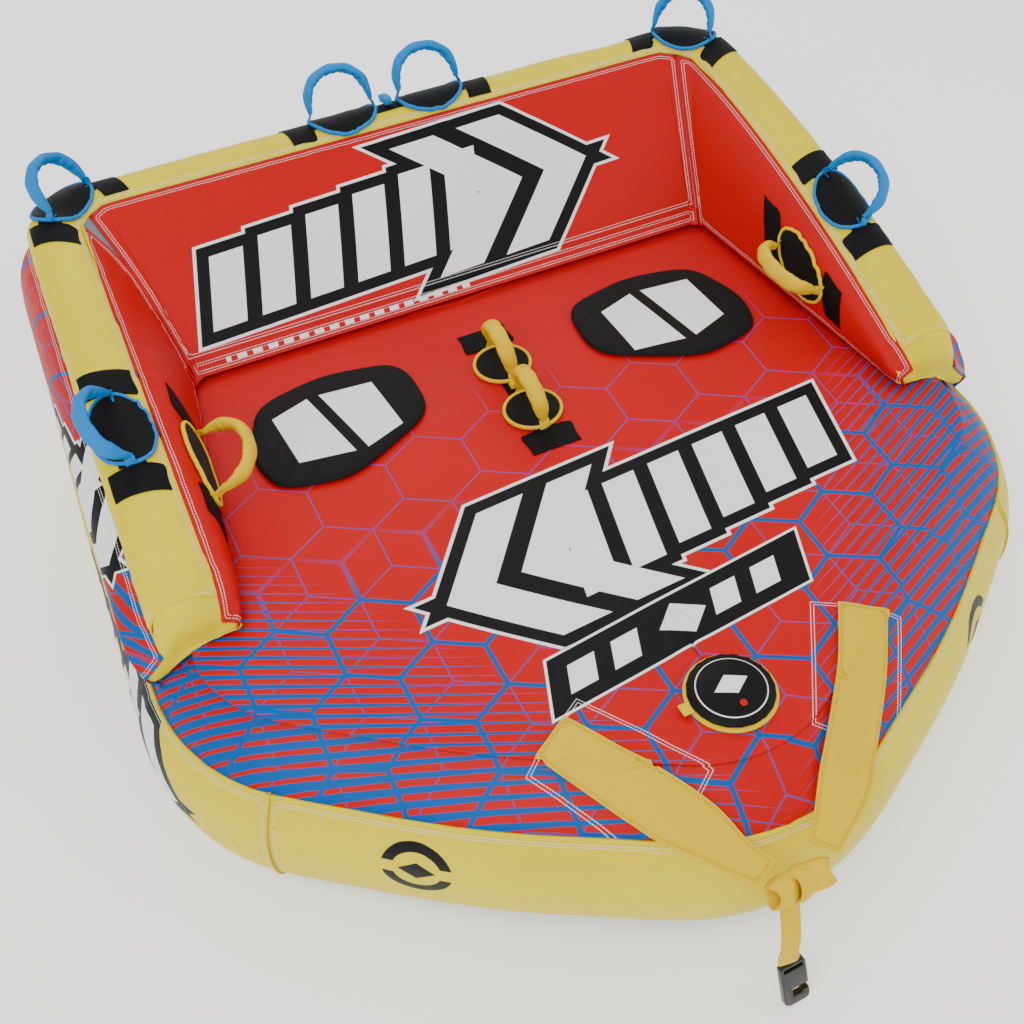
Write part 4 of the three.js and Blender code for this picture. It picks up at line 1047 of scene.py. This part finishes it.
@dataclass
class Cover:
    """The sewn cover over both bladders."""

    shop: Shop
    cloth: float = 0.0018
    levels: int = 3
    relaxing: int = 45
    clear: float = 0.0052
    under_height: float = 0.0008
    tip_reach: float = 0.16
    skirt_height: float = 0.075
    foot_end: float = 0.345
    rim_end: float = -0.135
    sewing: Sewing = field(default_factory=Sewing)

    panels = (
        Panel("bottom_panel", "deck_bladder", "cover_black", BOTTOM_NYLON),
        Panel("front_band", "deck_bladder", "cover_yellow", FRONT_NYLON, "front_band"),
        Panel("side_band_right", "deck_bladder", "cover_yellow", SIDE_NYLON, "side_band"),
        Panel("side_band_left", "deck_bladder", "cover_yellow", SIDE_NYLON, "side_band"),
        Panel("back_band", "deck_bladder", "cover_yellow", YELLOW_NYLON),
        Panel("right_arm_panel", "bolster_bladder", "cover_red", RED_NYLON),
        Panel("backrest_panel", "bolster_bladder", "cover_red", BACKREST_NYLON, "backrest"),
        Panel("left_arm_panel", "bolster_bladder", "cover_red", RED_NYLON),
        Panel("rim_panel", "bolster_bladder", "cover_yellow", YELLOW_NYLON),
        Panel("right_outer_panel", "bolster_bladder", "cover_red", OUTER_NYLON, "outer"),
        Panel("back_outer_panel", "bolster_bladder", "cover_red", OUTER_NYLON, "outer"),
        Panel("left_outer_panel", "bolster_bladder", "cover_red", OUTER_NYLON, "outer"),
    )

    def deck_sheet(self) -> bmesh.types.BMesh:
        """The deck's sheet: the bladder's cells under the deck panel, raised to the panel's top."""
        panel = tree_of(frame["nodes"]["deck_panel"])
        bm = merged("deck_bladder")
        join_cells(bm)
        bm.normal_update()
        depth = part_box("deck_panel")[1][2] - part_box("deck_bladder")[1][2]
        raised = {vert: vert.co + vert.normal * depth for vert in bm.verts}
        dropped = []
        for face in bm.faces:
            middle = face.calc_center_median()
            if face.normal.z < 0.2 or panel.ray_cast(middle, face.normal, 3 * depth)[0] is None:
                dropped.append(face)
        bmesh.ops.delete(bm, geom=dropped, context="FACES")
        for vert in bm.verts:
            vert.co = raised[vert]
        return bm

    def sewn(self, name: str, sheet: bmesh.types.BMesh, key: float) -> bpy.types.Object:
        """Makes a sheet smooth, sews it and gives it its cloth map."""
        piece = as_piece(name, sheet)
        smooth_through(piece, self.levels)
        if key == 0.0:
            self.relax(piece)
        self.sewing.sew(piece, key)
        map_cloth(piece)
        return piece

    def relax(self, piece: bpy.types.Object) -> None:
        """Evens out the creases between the rows of a sheet, and leaves its border where it is."""
        bm = bmesh.new()
        bm.from_mesh(piece.data)
        inside = [vert for vert in bm.verts if not vert.is_boundary]
        for _ in range(self.relaxing):
            bmesh.ops.smooth_vert(bm, verts=inside, factor=0.5, use_axis_x=False, use_axis_y=False, use_axis_z=True)
        bm.to_mesh(piece.data)
        bm.free()
        laid(piece, tree_of(frame["nodes"]["deck_bladder"]), self.clear, least=True)

    def under_layer(self, name: str, finish: Cloth, slot: str, keep: Callable[[Vector, Vector], bool]) -> None:
        """Builds the cloth that shows between the ends of the bolster's panels.

        Args:
            name: The piece's name.
            finish: Its cloth.
            slot: Its material slot; it is not used.
            keep: Tells, from a cell's middle and direction, whether the layer covers it.
        """
        bm = merged("bolster_bladder")
        join_cells(bm)
        bm.normal_update()
        raised = {vert: vert.co + vert.normal * self.under_height for vert in bm.verts}
        dropped = [face for face in bm.faces if not keep(face.calc_center_median(), face.normal)]
        bmesh.ops.delete(bm, geom=dropped, context="FACES")
        for vert in bm.verts:
            vert.co = raised[vert]
        layer = as_piece(name, bm)
        smooth_through(layer, 2)
        map_cloth(layer)
        thicken(layer, self.cloth)
        shade_smooth(layer, 60.0)
        self.shop.dress(layer, finish)
        self.shop.hand_over(layer, ROOT, slot)

    def build(self) -> None:
        """Builds every panel, and keeps the surfaces that other pieces lie on."""
        deck = self.sewn("deck_cover", self.deck_sheet(), 0.0)
        self.shop.deck = tree_of(deck)
        sheets = []
        for key, panel in enumerate(self.panels, start=1):
            name = panel.node.replace("_panel", "_cover").replace("_band", "_wall")
            sheet = outer_sheet(panel.node, panel.core)
            if panel.node == "rim_panel":
                ends = [face for face in sheet.faces if face.calc_center_median().y < self.rim_end]
                bmesh.ops.delete(sheet, geom=ends, context="FACES")
            if panel.node == "back_outer_panel":
                low_cells = [face for face in sheet.faces if face.calc_center_median().z < self.foot_end]
                bmesh.ops.delete(sheet, geom=low_cells, context="FACES")
            sheets.append((panel, self.sewn(name, sheet, key)))
        self.shop.bolster = tree_of(*(sheet for panel, sheet in sheets if panel.core == "bolster_bladder"))
        low, high = (Vector(corner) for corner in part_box("bolster_bladder"))
        front, foot = low.y + self.tip_reach, low.z + self.skirt_height

        def at_tips(middle: Vector, normal: Vector) -> bool:
            """The rounded fronts of both arms."""
            return middle.y < front

        def at_foot(middle: Vector, normal: Vector) -> bool:
            """The foot of the bolster's outer wall."""
            outward = normal.x * middle.x > 0.0 if abs(middle.x) > 0.72 else middle.y > 0.7
            return middle.y > front and middle.z < foot and outward and normal.z < 0.5

        self.under_layer("rim_tip_cover", TIP_NYLON, "cover_yellow", at_tips)
        self.under_layer("bolster_skirt", SKIRT_NYLON, "cover_red", at_foot)
        thicken(deck, self.cloth)
        self.drill(deck)
        self.shop.dress(deck, DECK_NYLON, self.shop.prints.deck)
        self.shop.hand_over(deck, ROOT, "cover_red", "deck_panel")
        for panel, sheet in sheets:
            thicken(sheet, self.cloth)
            for vert in sheet.data.vertices:
                vert.co.z = max(vert.co.z, 0.0)
            shade_smooth(sheet, 60.0)
            paint = getattr(self.shop.prints, panel.paint) if panel.paint else None
            self.shop.dress(sheet, panel.finish, paint)
            self.shop.hand_over(sheet, ROOT, panel.slot, panel.node)

    def drill(self, deck: bpy.types.Object) -> None:
        """Cuts the valve's hole in the deck."""
        low, high = (Vector(corner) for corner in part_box("valve_collar"))
        deselect()
        bpy.ops.mesh.primitive_cylinder_add(vertices=48, radius=(high.x - low.x) / 2 + 0.002, depth=0.08, location=(low + high) / 2)
        cutter = bpy.context.object
        modifier = deck.modifiers.new("hole", "BOOLEAN")
        modifier.object = cutter
        modifier.solver = "EXACT"
        apply_modifiers(deck)
        bpy.data.objects.remove(cutter)
        shade_smooth(deck, 60.0)


BLACK_WEBBING = Cloth("black_webbing", Tone.BLACK, roughness=0.62, threads=420.0, weave=0.00035, crease=0.0004)
GOLD_WEBBING = Cloth("gold_webbing", Tone.GOLD, roughness=0.55, threads=420.0, weave=0.0004, rows=(0.004, 0.0075), thread=Tone.AMBER)
BLUE_SLEEVE = Cloth("blue_sleeve", Tone.GRIP_BLUE, roughness=0.58, threads=600.0, weave=0.0002, crease=0.0009)
YELLOW_SLEEVE = Cloth("yellow_sleeve", Tone.GOLD, roughness=0.58, threads=600.0, weave=0.0002, crease=0.0009)
NEOPRENE = Cloth("black_neoprene", Tone.BLACK, roughness=0.7, threads=900.0, weave=0.00015, sheen=0.05)
PAD_CLOTH = Cloth("pad_cloth", Tone.BLACK, roughness=0.6, threads=700.0, weave=0.00015, sheen=0.03)
FLAP_CLOTH = Cloth("flap_cloth", Tone.BLACK, roughness=0.5, threads=700.0, weave=0.0001)
ZIP_CLOTH = Cloth("zip_cloth", Tone.BLACK, roughness=0.7, threads=700.0, weave=0.0002)
BLADDER_FILM = Moulded("bladder_film", Tone.FILM, roughness=0.25)
BLACK_PLASTIC = Moulded("black_plastic", Tone.BLACK, roughness=0.38)
ZIP_METAL = Moulded("zip_metal", Tone.STEEL, roughness=0.32, metallic=1.0)


def facing_sheet(node: str, under: BVHTree, least: float = 0.5) -> bmesh.types.BMesh:
    """The side of a CAD piece that faces away from the surface it lies on."""

    def faces_out(face: bmesh.types.BMFace) -> bool:
        """Compares the face's direction with the surface's."""
        normal = under.find_nearest(face.calc_center_median())[1]
        return face.normal.dot(normal) > least

    return sheet_where(node, faces_out)


def laid(piece: bpy.types.Object, under: BVHTree, height: float, least: bool = False) -> None:
    """Lays a sheet on a surface: every point at one height above it, or at least that high."""
    for vert in piece.data.vertices:
        place, normal, _, _ = under.find_nearest(vert.co)
        if not least or (vert.co - place).dot(normal) < height:
            vert.co = place + normal * height
    piece.data.update()


def softened(node: str, width: float, segments: int = 3, degrees: float = 35.0) -> bpy.types.Object:
    """A copy of a CAD piece with its edges rounded."""
    piece = as_piece(node.replace("tow_", "harness_") + "_soft", merged(node))
    flat = piece.modifiers.new("flat", "DECIMATE")
    flat.decimate_type = "DISSOLVE"
    flat.angle_limit = math.radians(2.0)
    rounded = piece.modifiers.new("rounded", "BEVEL")
    rounded.width = width
    rounded.segments = segments
    rounded.limit_method = "ANGLE"
    rounded.angle_limit = math.radians(degrees)
    apply_modifiers(piece)
    map_cloth(piece)
    shade_smooth(piece, 50.0)
    return piece


@dataclass(frozen=True)
class Handle:
    """One soft handle: a grip on its hinge and a guard under it."""

    name: str
    sleeve: Cloth
    slot: str

    arch_rows = 72
    width = 0.0165
    thickness = 0.0102
    end_room = 0.0115

    def local(self) -> tuple[Vector, Vector, Vector, Vector, float, float]:
        """The hinge's point, its axis, the direction across the grip, the way it stands, its half span and height."""
        joint = JOINTS[f"{self.name}_grip"]
        origin = Vector(joint["pos_m"])
        axis = Vector(joint["axis"]).normalized()
        arms = [vert.co - origin for vert in frame["nodes"][f"{self.name}_grip"].data.vertices]
        middle = sum(arms, Vector()) / len(arms)
        up = (middle - axis * middle.dot(axis)).normalized()
        span = max(arm.dot(axis) for arm in arms)
        height = max(arm.dot(up) for arm in arms)
        return origin, axis, axis.cross(up), up, span, height

    def build_grip(self, shop: Shop) -> None:
        """Builds the padded grip with gathered ends."""
        origin, axis, across, up, span, height = self.local()
        reach, rise = span - self.end_room, height - self.thickness
        centres = []
        for row in range(self.arch_rows + 1):
            turn = math.pi * row / self.arch_rows
            lift = rise * math.sin(turn) ** 0.72
            centres.append(origin + axis * (reach * math.cos(turn)) + up * (lift + 0.003))

        def outline(row: int, turn: float) -> tuple[float, float]:
            """A flattened section, gathered at the ends and creased on the inside of the bend."""
            share = row / self.arch_rows
            near = min(share, 1.0 - share)
            full = 0.4 + 0.6 * min(near / 0.13, 1.0) ** 0.6
            gather = 1.0 + 0.13 * math.cos(7 * turn + 3.0 * share) * math.exp(-near / 0.07)
            inside = max(-math.sin(turn), 0.0)
            crease = 0.0009 * inside * math.sin(share * 88.0 + 1.4 * math.sin(share * 19.0))
            crease += 0.0007 * math.sin(share * 31.0 + 2.0 * turn + len(self.name))
            aside = (self.width * full * gather + crease) * math.cos(turn)
            return aside, (self.thickness * full * gather + crease) * math.sin(turn)

        grip = swept(f"{self.name}_sleeve_grip", centres, across, outline, 28)
        shop.dress(grip, self.sleeve)
        shop.hand_over(grip, f"{self.name}_grip", self.slot, f"{self.name}_grip")

    def build_tails(self, shop: Shop) -> None:
        """Builds the webbing that carries the hinge, from the cover up to each end of the grip."""
        origin, axis, across, up, span, _ = self.local()
        for side in (-1.0, 1.0):
            top = origin + axis * (side * (span - self.end_room)) + up * 0.004
            place, normal, _, _ = shop.cover_tree(self.name).find_nearest(top)
            foot = place + normal * 0.0035 + axis * (side * 0.005)
            out = axis * side
            bend = foot.lerp(top, 0.5) + out * 0.002
            centres = spline([foot - out * 0.016, foot, bend, top], 14)
            flat = [(0.0105, 0.0016)] * 14
            tail = swept(
                f"{self.name}_tail_{'near' if side < 0 else 'far'}",
                centres,
                across,
                lambda row, turn: (flat[row][0] * math.cos(turn), flat[row][1] * math.sin(turn)),
                16,
            )
            shop.dress(tail, self.sleeve)
            shop.hand_over(tail, ROOT, self.slot)

    def build_guard(self, shop: Shop) -> None:
        """Builds the padded guard and the binding round it."""
        under = shop.cover_tree(self.name)
        guard = as_piece(f"{self.name}_neoprene_guard", facing_sheet(f"{self.name}_guard", under))
        smooth_through(guard, 2)
        laid(guard, under, 0.0076)
        bm = bmesh.new()
        bm.from_mesh(guard.data)
        rim = max(edge_loops(bm), key=len)
        bm.free()
        map_cloth(guard)
        thicken(guard, 0.0048)
        shade_smooth(guard)
        shop.dress(guard, NEOPRENE)
        shop.hand_over(guard, ROOT, "guard_black", f"{self.name}_guard")
        centres = spline(rim, 97)[:-1]
        normal = under.find_nearest(sum(centres, Vector()) / len(centres))[1]
        centres = [on_surface(under, point, 0.0058) for point in centres]
        binding = swept(
            f"{self.name}_binding",
            centres,
            normal,
            lambda row, turn: (0.0043 * math.cos(turn), 0.0036 * math.sin(turn)),
            14,
            closed=True,
        )
        shop.dress(binding, self.sleeve)
        shop.hand_over(binding, ROOT, self.slot)


@dataclass
class Handles:
    """All the handles, their webbing patches and the sleeves that join the pairs."""

    shop: Shop
    outer: tuple = ("right_side", "left_side", "right_corner", "left_corner", "back_right", "back_left")
    inner: tuple = ("right_inner", "left_inner", "deck_front", "deck_rear")
    patches: tuple = ("right_side", "left_side", "right_corner", "left_corner", "right_inner", "left_inner", "back", "deck")

    def build(self) -> None:
        """Builds them."""
        for name in self.patches:
            self.patch(name)
        for names, sleeve, slot in ((self.outer, BLUE_SLEEVE, "grip_blue"), (self.inner, YELLOW_SLEEVE, "grip_yellow")):
            for name in names:
                handle = Handle(name, sleeve, slot)
                handle.build_grip(self.shop)
                handle.build_tails(self.shop)
                handle.build_guard(self.shop)
        for name, sleeve, slot in (("back", BLUE_SLEEVE, "grip_blue"), ("deck", YELLOW_SLEEVE, "grip_yellow")):
            wrap = softened(f"{name}_sleeve", 0.0035)
            self.shop.dress(wrap, sleeve)
            self.shop.hand_over(wrap, ROOT, slot, f"{name}_sleeve")

    def patch(self, name: str) -> None:
        """Builds the webbing under a handle, or under a pair of them."""
        under = self.shop.cover_tree(name)
        patch = as_piece(f"{name}_webbing", facing_sheet(f"{name}_patches", under))
        smooth_through(patch, 2)
        laid(patch, under, 0.0024)
        map_cloth(patch)
        thicken(patch, 0.0018)
        self.shop.dress(patch, BLACK_WEBBING)
        self.shop.hand_over(patch, ROOT, "webbing_black", f"{name}_patches")


@dataclass
class SeatPads:
    """The two foam seat pads."""

    shop: Shop
    crown: float = 0.0035

    def build(self) -> None:
        """Builds both pads, a little thicker in the middle."""
        under = self.shop.deck
        for side in ("right", "left"):
            pad = as_piece(f"{side}_pad_cushion", facing_sheet(f"{side}_seat_pad", under))
            rounded = pad.modifiers.new("smooth", "SUBSURF")
            rounded.levels = 3
            rounded.boundary_smooth = "PRESERVE_CORNERS"
            apply_modifiers(pad)
            bm = bmesh.new()
            bm.from_mesh(pad.data)
            rim = [point for loop in edge_loops(bm) for point in loop]
            bm.free()
            finder = KDTree(len(rim))
            for index, point in enumerate(rim):
                finder.insert(point, index)
            finder.balance()
            for vert in pad.data.vertices:
                inset = finder.find(vert.co)[2]
                edge = 0.0045 * (1.0 - math.exp(-inset / 0.004))
                height = 0.0065 + edge + self.crown * (1.0 - math.exp(-inset / 0.035))
                vert.co = on_surface(under, vert.co, height)
            pad.data.update()
            map_cloth(pad)
            thicken(pad, 0.0065)
            shade_smooth(pad, 60.0)
            self.shop.dress(pad, PAD_CLOTH, self.shop.prints.seat_pad)
            self.shop.hand_over(pad, ROOT, "pad_foam", f"{side}_seat_pad")


@dataclass
class Valve:
    """The valve with its cap, and the round flap over it in a bound ring."""

    shop: Shop
    lean: float = math.atan2(0.07383, 0.99727)

    def build(self) -> None:
        """Builds the ring, the flap and the tab."""
        low, high = (Vector(corner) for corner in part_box("valve_ring"))
        middle = (low + high) / 2
        radius = (high.x - low.x) / 2
        ring = self.turned("valve_bound_ring", middle, radius - 0.0055, 0.0058, 0.0042)
        self.shop.dress(ring, YELLOW_SLEEVE)
        self.shop.hand_over(ring, ROOT, "cover_yellow", "valve_ring")
        flap = softened("valve_flap", 0.0016)
        self.shop.dress(flap, FLAP_CLOTH, self.flap_print)
        self.shop.hand_over(flap, "valve_flap", "flap_foam", "valve_flap")
        tab = softened("valve_tab", 0.0012)
        self.shop.dress(tab, YELLOW_SLEEVE)
        self.shop.hand_over(tab, "valve_flap", "tab_yellow", "valve_tab")

    def turned(self, name: str, middle: Vector, radius: float, wide: float, tall: float) -> bpy.types.Object:
        """A flattened ring that leans as the deck does there."""
        normal = Matrix.Rotation(-self.lean, 3, "X") @ Vector((0.0, 0.0, 1.0))
        side = Vector((1.0, 0.0, 0.0))
        ahead = normal.cross(side)
        centres = []
        for step in range(96):
            turn = step / 96 * math.tau
            centres.append(middle + (side * math.cos(turn) + ahead * math.sin(turn)) * radius)
        return swept(
            name, centres, normal, lambda row, turn: (tall * math.cos(turn), wide * math.sin(turn)), 16, closed=True
        )

    def flap_print(self, w: Wiring, where: object, ground: object) -> object:
        """A thin white ring, a lozenge and a dot."""
        middle = (Vector(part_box("valve_flap")[0]) + Vector(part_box("valve_flap")[1])) / 2
        local = w.vector("MULTIPLY", w.vector("SUBTRACT", where, tuple(middle)), (1.0, 1.0, 0.0))
        radius = w.vector("LENGTH", local, out="Value")
        ring = w.math("MULTIPLY", w.ramp(radius, 0.0585, 0.0592), w.ramp(radius, 0.0612, 0.0605))
        colour = w.mix(ring, ground, Tone.WHITE.value)
        group = self.shop.prints.roundel
        placed = w.placed(local, (0.0, 0.003, 0.0), (0.0, 0.0, math.radians(184.0)))
        colour = self.shop.prints.mark(w, colour, group, placed, line=0.0)
        dot = w.ramp(w.vector("DISTANCE", local, (0.0, -0.037, 0.0), out="Value"), 0.0065, 0.006)
        return w.mix(dot, colour, Tone.RED.value)


@dataclass
class TowHarness:
    """The webbing from the deck to the nose, its knot, the lead and the connector."""

    shop: Shop
    lead_width: float = 0.036
    lead_thickness: float = 0.006
    double_length: float = 0.15
    route = (
        (-0.060, -0.956, 0.3196),
        (-0.060, -0.956, 0.3027),
        (-0.062, -0.977, 0.2646),
        (-0.070, -0.999, 0.2244),
        (-0.072, -1.007, 0.1821),
        (-0.062, -0.999, 0.1461),
        (-0.0440, -0.9846, 0.1230),
        (-0.043, -0.990, 0.108),
    )

    def build(self) -> None:
        """Builds the straps, the knot, the lead and the connector."""
        for side in ("right", "left"):
            self.strap(side)
        self.knot()
        connector = softened("tow_connector", 0.0018)
        self.shop.dress(connector, BLACK_PLASTIC)
        self.shop.hand_over(connector, ROOT, "connector_plastic", "tow_connector")
        self.lead(connector)

    def knot(self) -> None:
        """Builds the knot: the straps' ends wrapped round each other, three turns side by side."""
        low, high = (Vector(corner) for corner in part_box("tow_knot"))
        middle = (low + high) / 2
        half = (high - low) / 2
        turns = ((-0.50, 10.0, 0.88), (0.50, -10.0, 0.90), (0.0, 22.0, 1.0))
        for index, (place, tilt, size) in enumerate(turns):
            lean = Matrix.Rotation(math.radians(tilt), 3, "Z") @ Matrix.Rotation(math.radians(tilt * 0.7), 3, "Y")
            centre = middle + Vector((half.x * place, 0.0, 0.0))
            centres = []
            for step in range(64):
                turn = step / 64 * math.tau
                arm = Vector((0.0, math.cos(turn) * (half.y - 0.001), math.sin(turn) * (half.z - 0.004)))
                centres.append(centre + lean @ (arm * size))

            def outline(row: int, turn: float) -> tuple[float, float]:
                """A flat band with round edges that curls and narrows as it goes round."""
                curl = 0.85 + 0.15 * math.sin(row / 64 * math.tau * 2 + index)
                return 0.0275 * curl * math.cos(turn), 0.0062 * math.sin(turn) * (1.1 - 0.25 * math.cos(turn) ** 2)

            band = swept(f"harness_knot_{index + 1}", centres, lean @ Vector((1.0, 0.0, 0.0)), outline, 24, closed=True)
            self.shop.dress(band, GOLD_WEBBING)
            if index:
                self.shop.hand_over(band, ROOT, "webbing_gold")
            else:
                self.shop.hand_over(band, ROOT, "webbing_gold", "tow_knot")

    def strap(self, side: str) -> None:
        """Builds one strap with a second layer sewn on its anchor."""
        under = self.shop.deck
        strap = as_piece(f"{side}_harness_strap", sheet_where(f"{side}_tow_strap", lambda face: face.normal.z > 0.3))
        smooth_through(strap, 2)
        laid(strap, under, 0.0052, least=True)
        key = 4.0 if side == "right" else 7.0
        Sewing(sink=0.0003, pucker=0.0012, hem=0.01, swell=0.0012, swell_size=9.0).sew(strap, key)
        map_cloth(strap)
        thicken(strap, 0.003)
        shade_smooth(strap, 50.0)
        self.shop.dress(strap, GOLD_WEBBING)
        self.shop.hand_over(strap, ROOT, "webbing_gold", f"{side}_tow_strap")
        self.doubled(side, under)

    def doubled(self, side: str, under: BVHTree) -> None:
        """Builds the strap's end, folded back and sewn on the anchor."""
        sheet = sheet_where(f"{side}_tow_strap", lambda face: face.normal.z > 0.3)
        far = max(vert.co.y for vert in sheet.verts)
        ends = [face for face in sheet.faces if face.calc_center_median().y < far - self.double_length]
        bmesh.ops.delete(sheet, geom=ends, context="FACES")
        layer = as_piece(f"{side}_harness_fold", sheet)
        smooth_through(layer, 2)
        laid(layer, under, 0.0084)
        Sewing(sink=0.001, pucker=0.0012, hem=0.008, swell=0.001, swell_size=9.0).sew(layer, 2.0)
        map_cloth(layer)
        thicken(layer, 0.0028)
        shade_smooth(layer, 50.0)
        self.shop.dress(layer, GOLD_WEBBING)
        self.shop.hand_over(layer, ROOT, "webbing_gold")

    def lead(self, connector: bpy.types.Object) -> None:
        """Builds the flat lead that hangs from the knot to the connector."""
        centres = spline([Vector(point) for point in self.route], 60)
        half, thick = self.lead_width / 2, self.lead_thickness / 2

        def outline(row: int, turn: float) -> tuple[float, float]:
            """A flat section with round edges, wider in the middle than where it is threaded."""
            wave = 0.0012 * math.sin(row * 0.31)
            flat = math.copysign(abs(math.sin(turn)) ** 0.6, math.sin(turn))
            return half * math.copysign(abs(math.cos(turn)) ** 0.75, math.cos(turn)) * 0.97, thick * flat + wave

        lead = swept("harness_lead", centres, Vector((1.0, -0.12, 0.0)), outline, 24)
        self.shop.dress(lead, GOLD_WEBBING)
        self.shop.hand_over(lead, ROOT, "webbing_gold", "tow_lead")


@dataclass
class Zip:
    """The zip on the back wall."""

    shop: Shop
    pitch: float = 0.006

    def build(self) -> None:
        """Builds the tape, the teeth and the slider."""
        tape = softened("zip_tape", 0.0004, 2)
        self.shop.dress(tape, ZIP_CLOTH)
        self.shop.hand_over(tape, ROOT, "zip_tape", "zip_tape")
        low, high = (Vector(corner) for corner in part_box("zip_tape"))
        bm = bmesh.new()
        count = int((high.x - low.x - 0.02) / self.pitch)
        for index in range(count):
            x = low.x + 0.012 + index * self.pitch
            place = Matrix.Translation((x, high.y + 0.0006, (low.z + high.z) / 2))
            size = Matrix.Diagonal((0.0028, 0.0022, 0.007, 1.0))
            bmesh.ops.create_cube(bm, size=1.0, matrix=place @ size)
        teeth = as_piece("zip_teeth", bm)
        self.shop.dress(teeth, ZIP_METAL)
        self.shop.hand_over(teeth, ROOT, "zip_metal")
        slider = softened("zip_slider", 0.0007, 2)
        self.shop.dress(slider, ZIP_METAL)
        self.shop.hand_over(slider, "zip_slider", "zip_metal", "zip_slider")

    def rest(self) -> None:
        """Gives the CAD pieces that stay their finishes."""
        film = ("deck_bladder", "bolster_bladder")
        for names, finish in ((film, BLADDER_FILM), (("valve_collar", "valve_cap"), BLACK_PLASTIC)):
            for name in names:
                self.shop.dress(frame["nodes"][name], finish)


class Studio:
    """A plain pale floor, soft lights and the camera."""

    camera_place = Vector((-0.8676, -1.6313, 2.4122))
    azimuth = math.radians(-25.37)
    elevation = math.radians(50.22)
    lens = 49.31

    def build(self) -> None:
        """Builds the floor, the lights and the camera."""
        self.floor()
        self.light("key_light", (-2.2, -2.0, 4.2), 2.6, 150.0)
        self.light("fill_light", (3.4, -1.4, 3.0), 3.0, 60.0)
        self.light("back_light", (0.4, 3.6, 3.4), 3.0, 70.0)
        world = bpy.data.worlds.new("studio_world")
        world.use_nodes = True
        world.node_tree.nodes["Background"].inputs["Color"].default_value = (1.0, 1.0, 1.0, 1.0)
        world.node_tree.nodes["Background"].inputs["Strength"].default_value = 0.85
        bpy.context.scene.world = world
        data = bpy.data.cameras.new("studio_camera")
        data.lens = self.lens
        data.sensor_width = 36.0
        data.clip_end = 60.0
        camera = bpy.data.objects.new("studio_camera", data)
        level = math.cos(self.elevation)
        back = Vector((math.sin(self.azimuth) * level, -math.cos(self.azimuth) * level, math.sin(self.elevation)))
        right = Vector((math.cos(self.azimuth), math.sin(self.azimuth), 0.0))
        up = back.cross(right)
        turn = Matrix((right, up, back)).transposed().to_4x4()
        camera.matrix_world = Matrix.Translation(self.camera_place) @ turn
        bpy.context.scene.collection.objects.link(camera)
        bpy.context.scene.camera = camera

    def floor(self) -> None:
        """Adds the floor, a hair below the tube."""
        deselect()
        bpy.ops.mesh.primitive_plane_add(size=40.0, location=(0.0, 0.0, -0.0005))
        floor = bpy.context.object
        floor.name = "studio_floor"
        material = bpy.data.materials.new("pale_floor")
        material.use_nodes = True
        shader = material.node_tree.nodes["Principled BSDF"]
        shader.inputs["Base Color"].default_value = (0.92, 0.92, 0.92, 1.0)
        shader.inputs["Roughness"].default_value = 0.9
        shader.inputs["Emission Color"].default_value = (1.0, 1.0, 1.0, 1.0)
        shader.inputs["Emission Strength"].default_value = 0.45
        floor.data.materials.append(material)

    def light(self, name: str, place: tuple, size: float, power: float) -> None:
        """Adds a square soft light that faces the tube."""
        data = bpy.data.lights.new(name, "AREA")
        data.size = size
        data.energy = power
        lamp = bpy.data.objects.new(name, data)
        lamp.location = place
        lamp.rotation_euler = (Vector((0.0, 0.0, 0.3)) - Vector(place)).to_track_quat("-Z", "Y").to_euler()
        bpy.context.scene.collection.objects.link(lamp)


def main() -> None:
    """Builds every sub-assembly in order."""
    Studio().build()
    effects = Effects()
    shop = Shop(effects, Prints(effects))
    cover = Cover(shop)
    cover.build()
    Handles(shop).build()
    SeatPads(shop).build()
    Valve(shop).build()
    TowHarness(shop).build()
    zipper = Zip(shop)
    zipper.build()
    zipper.rest()


if __name__ == "__main__":
    main()
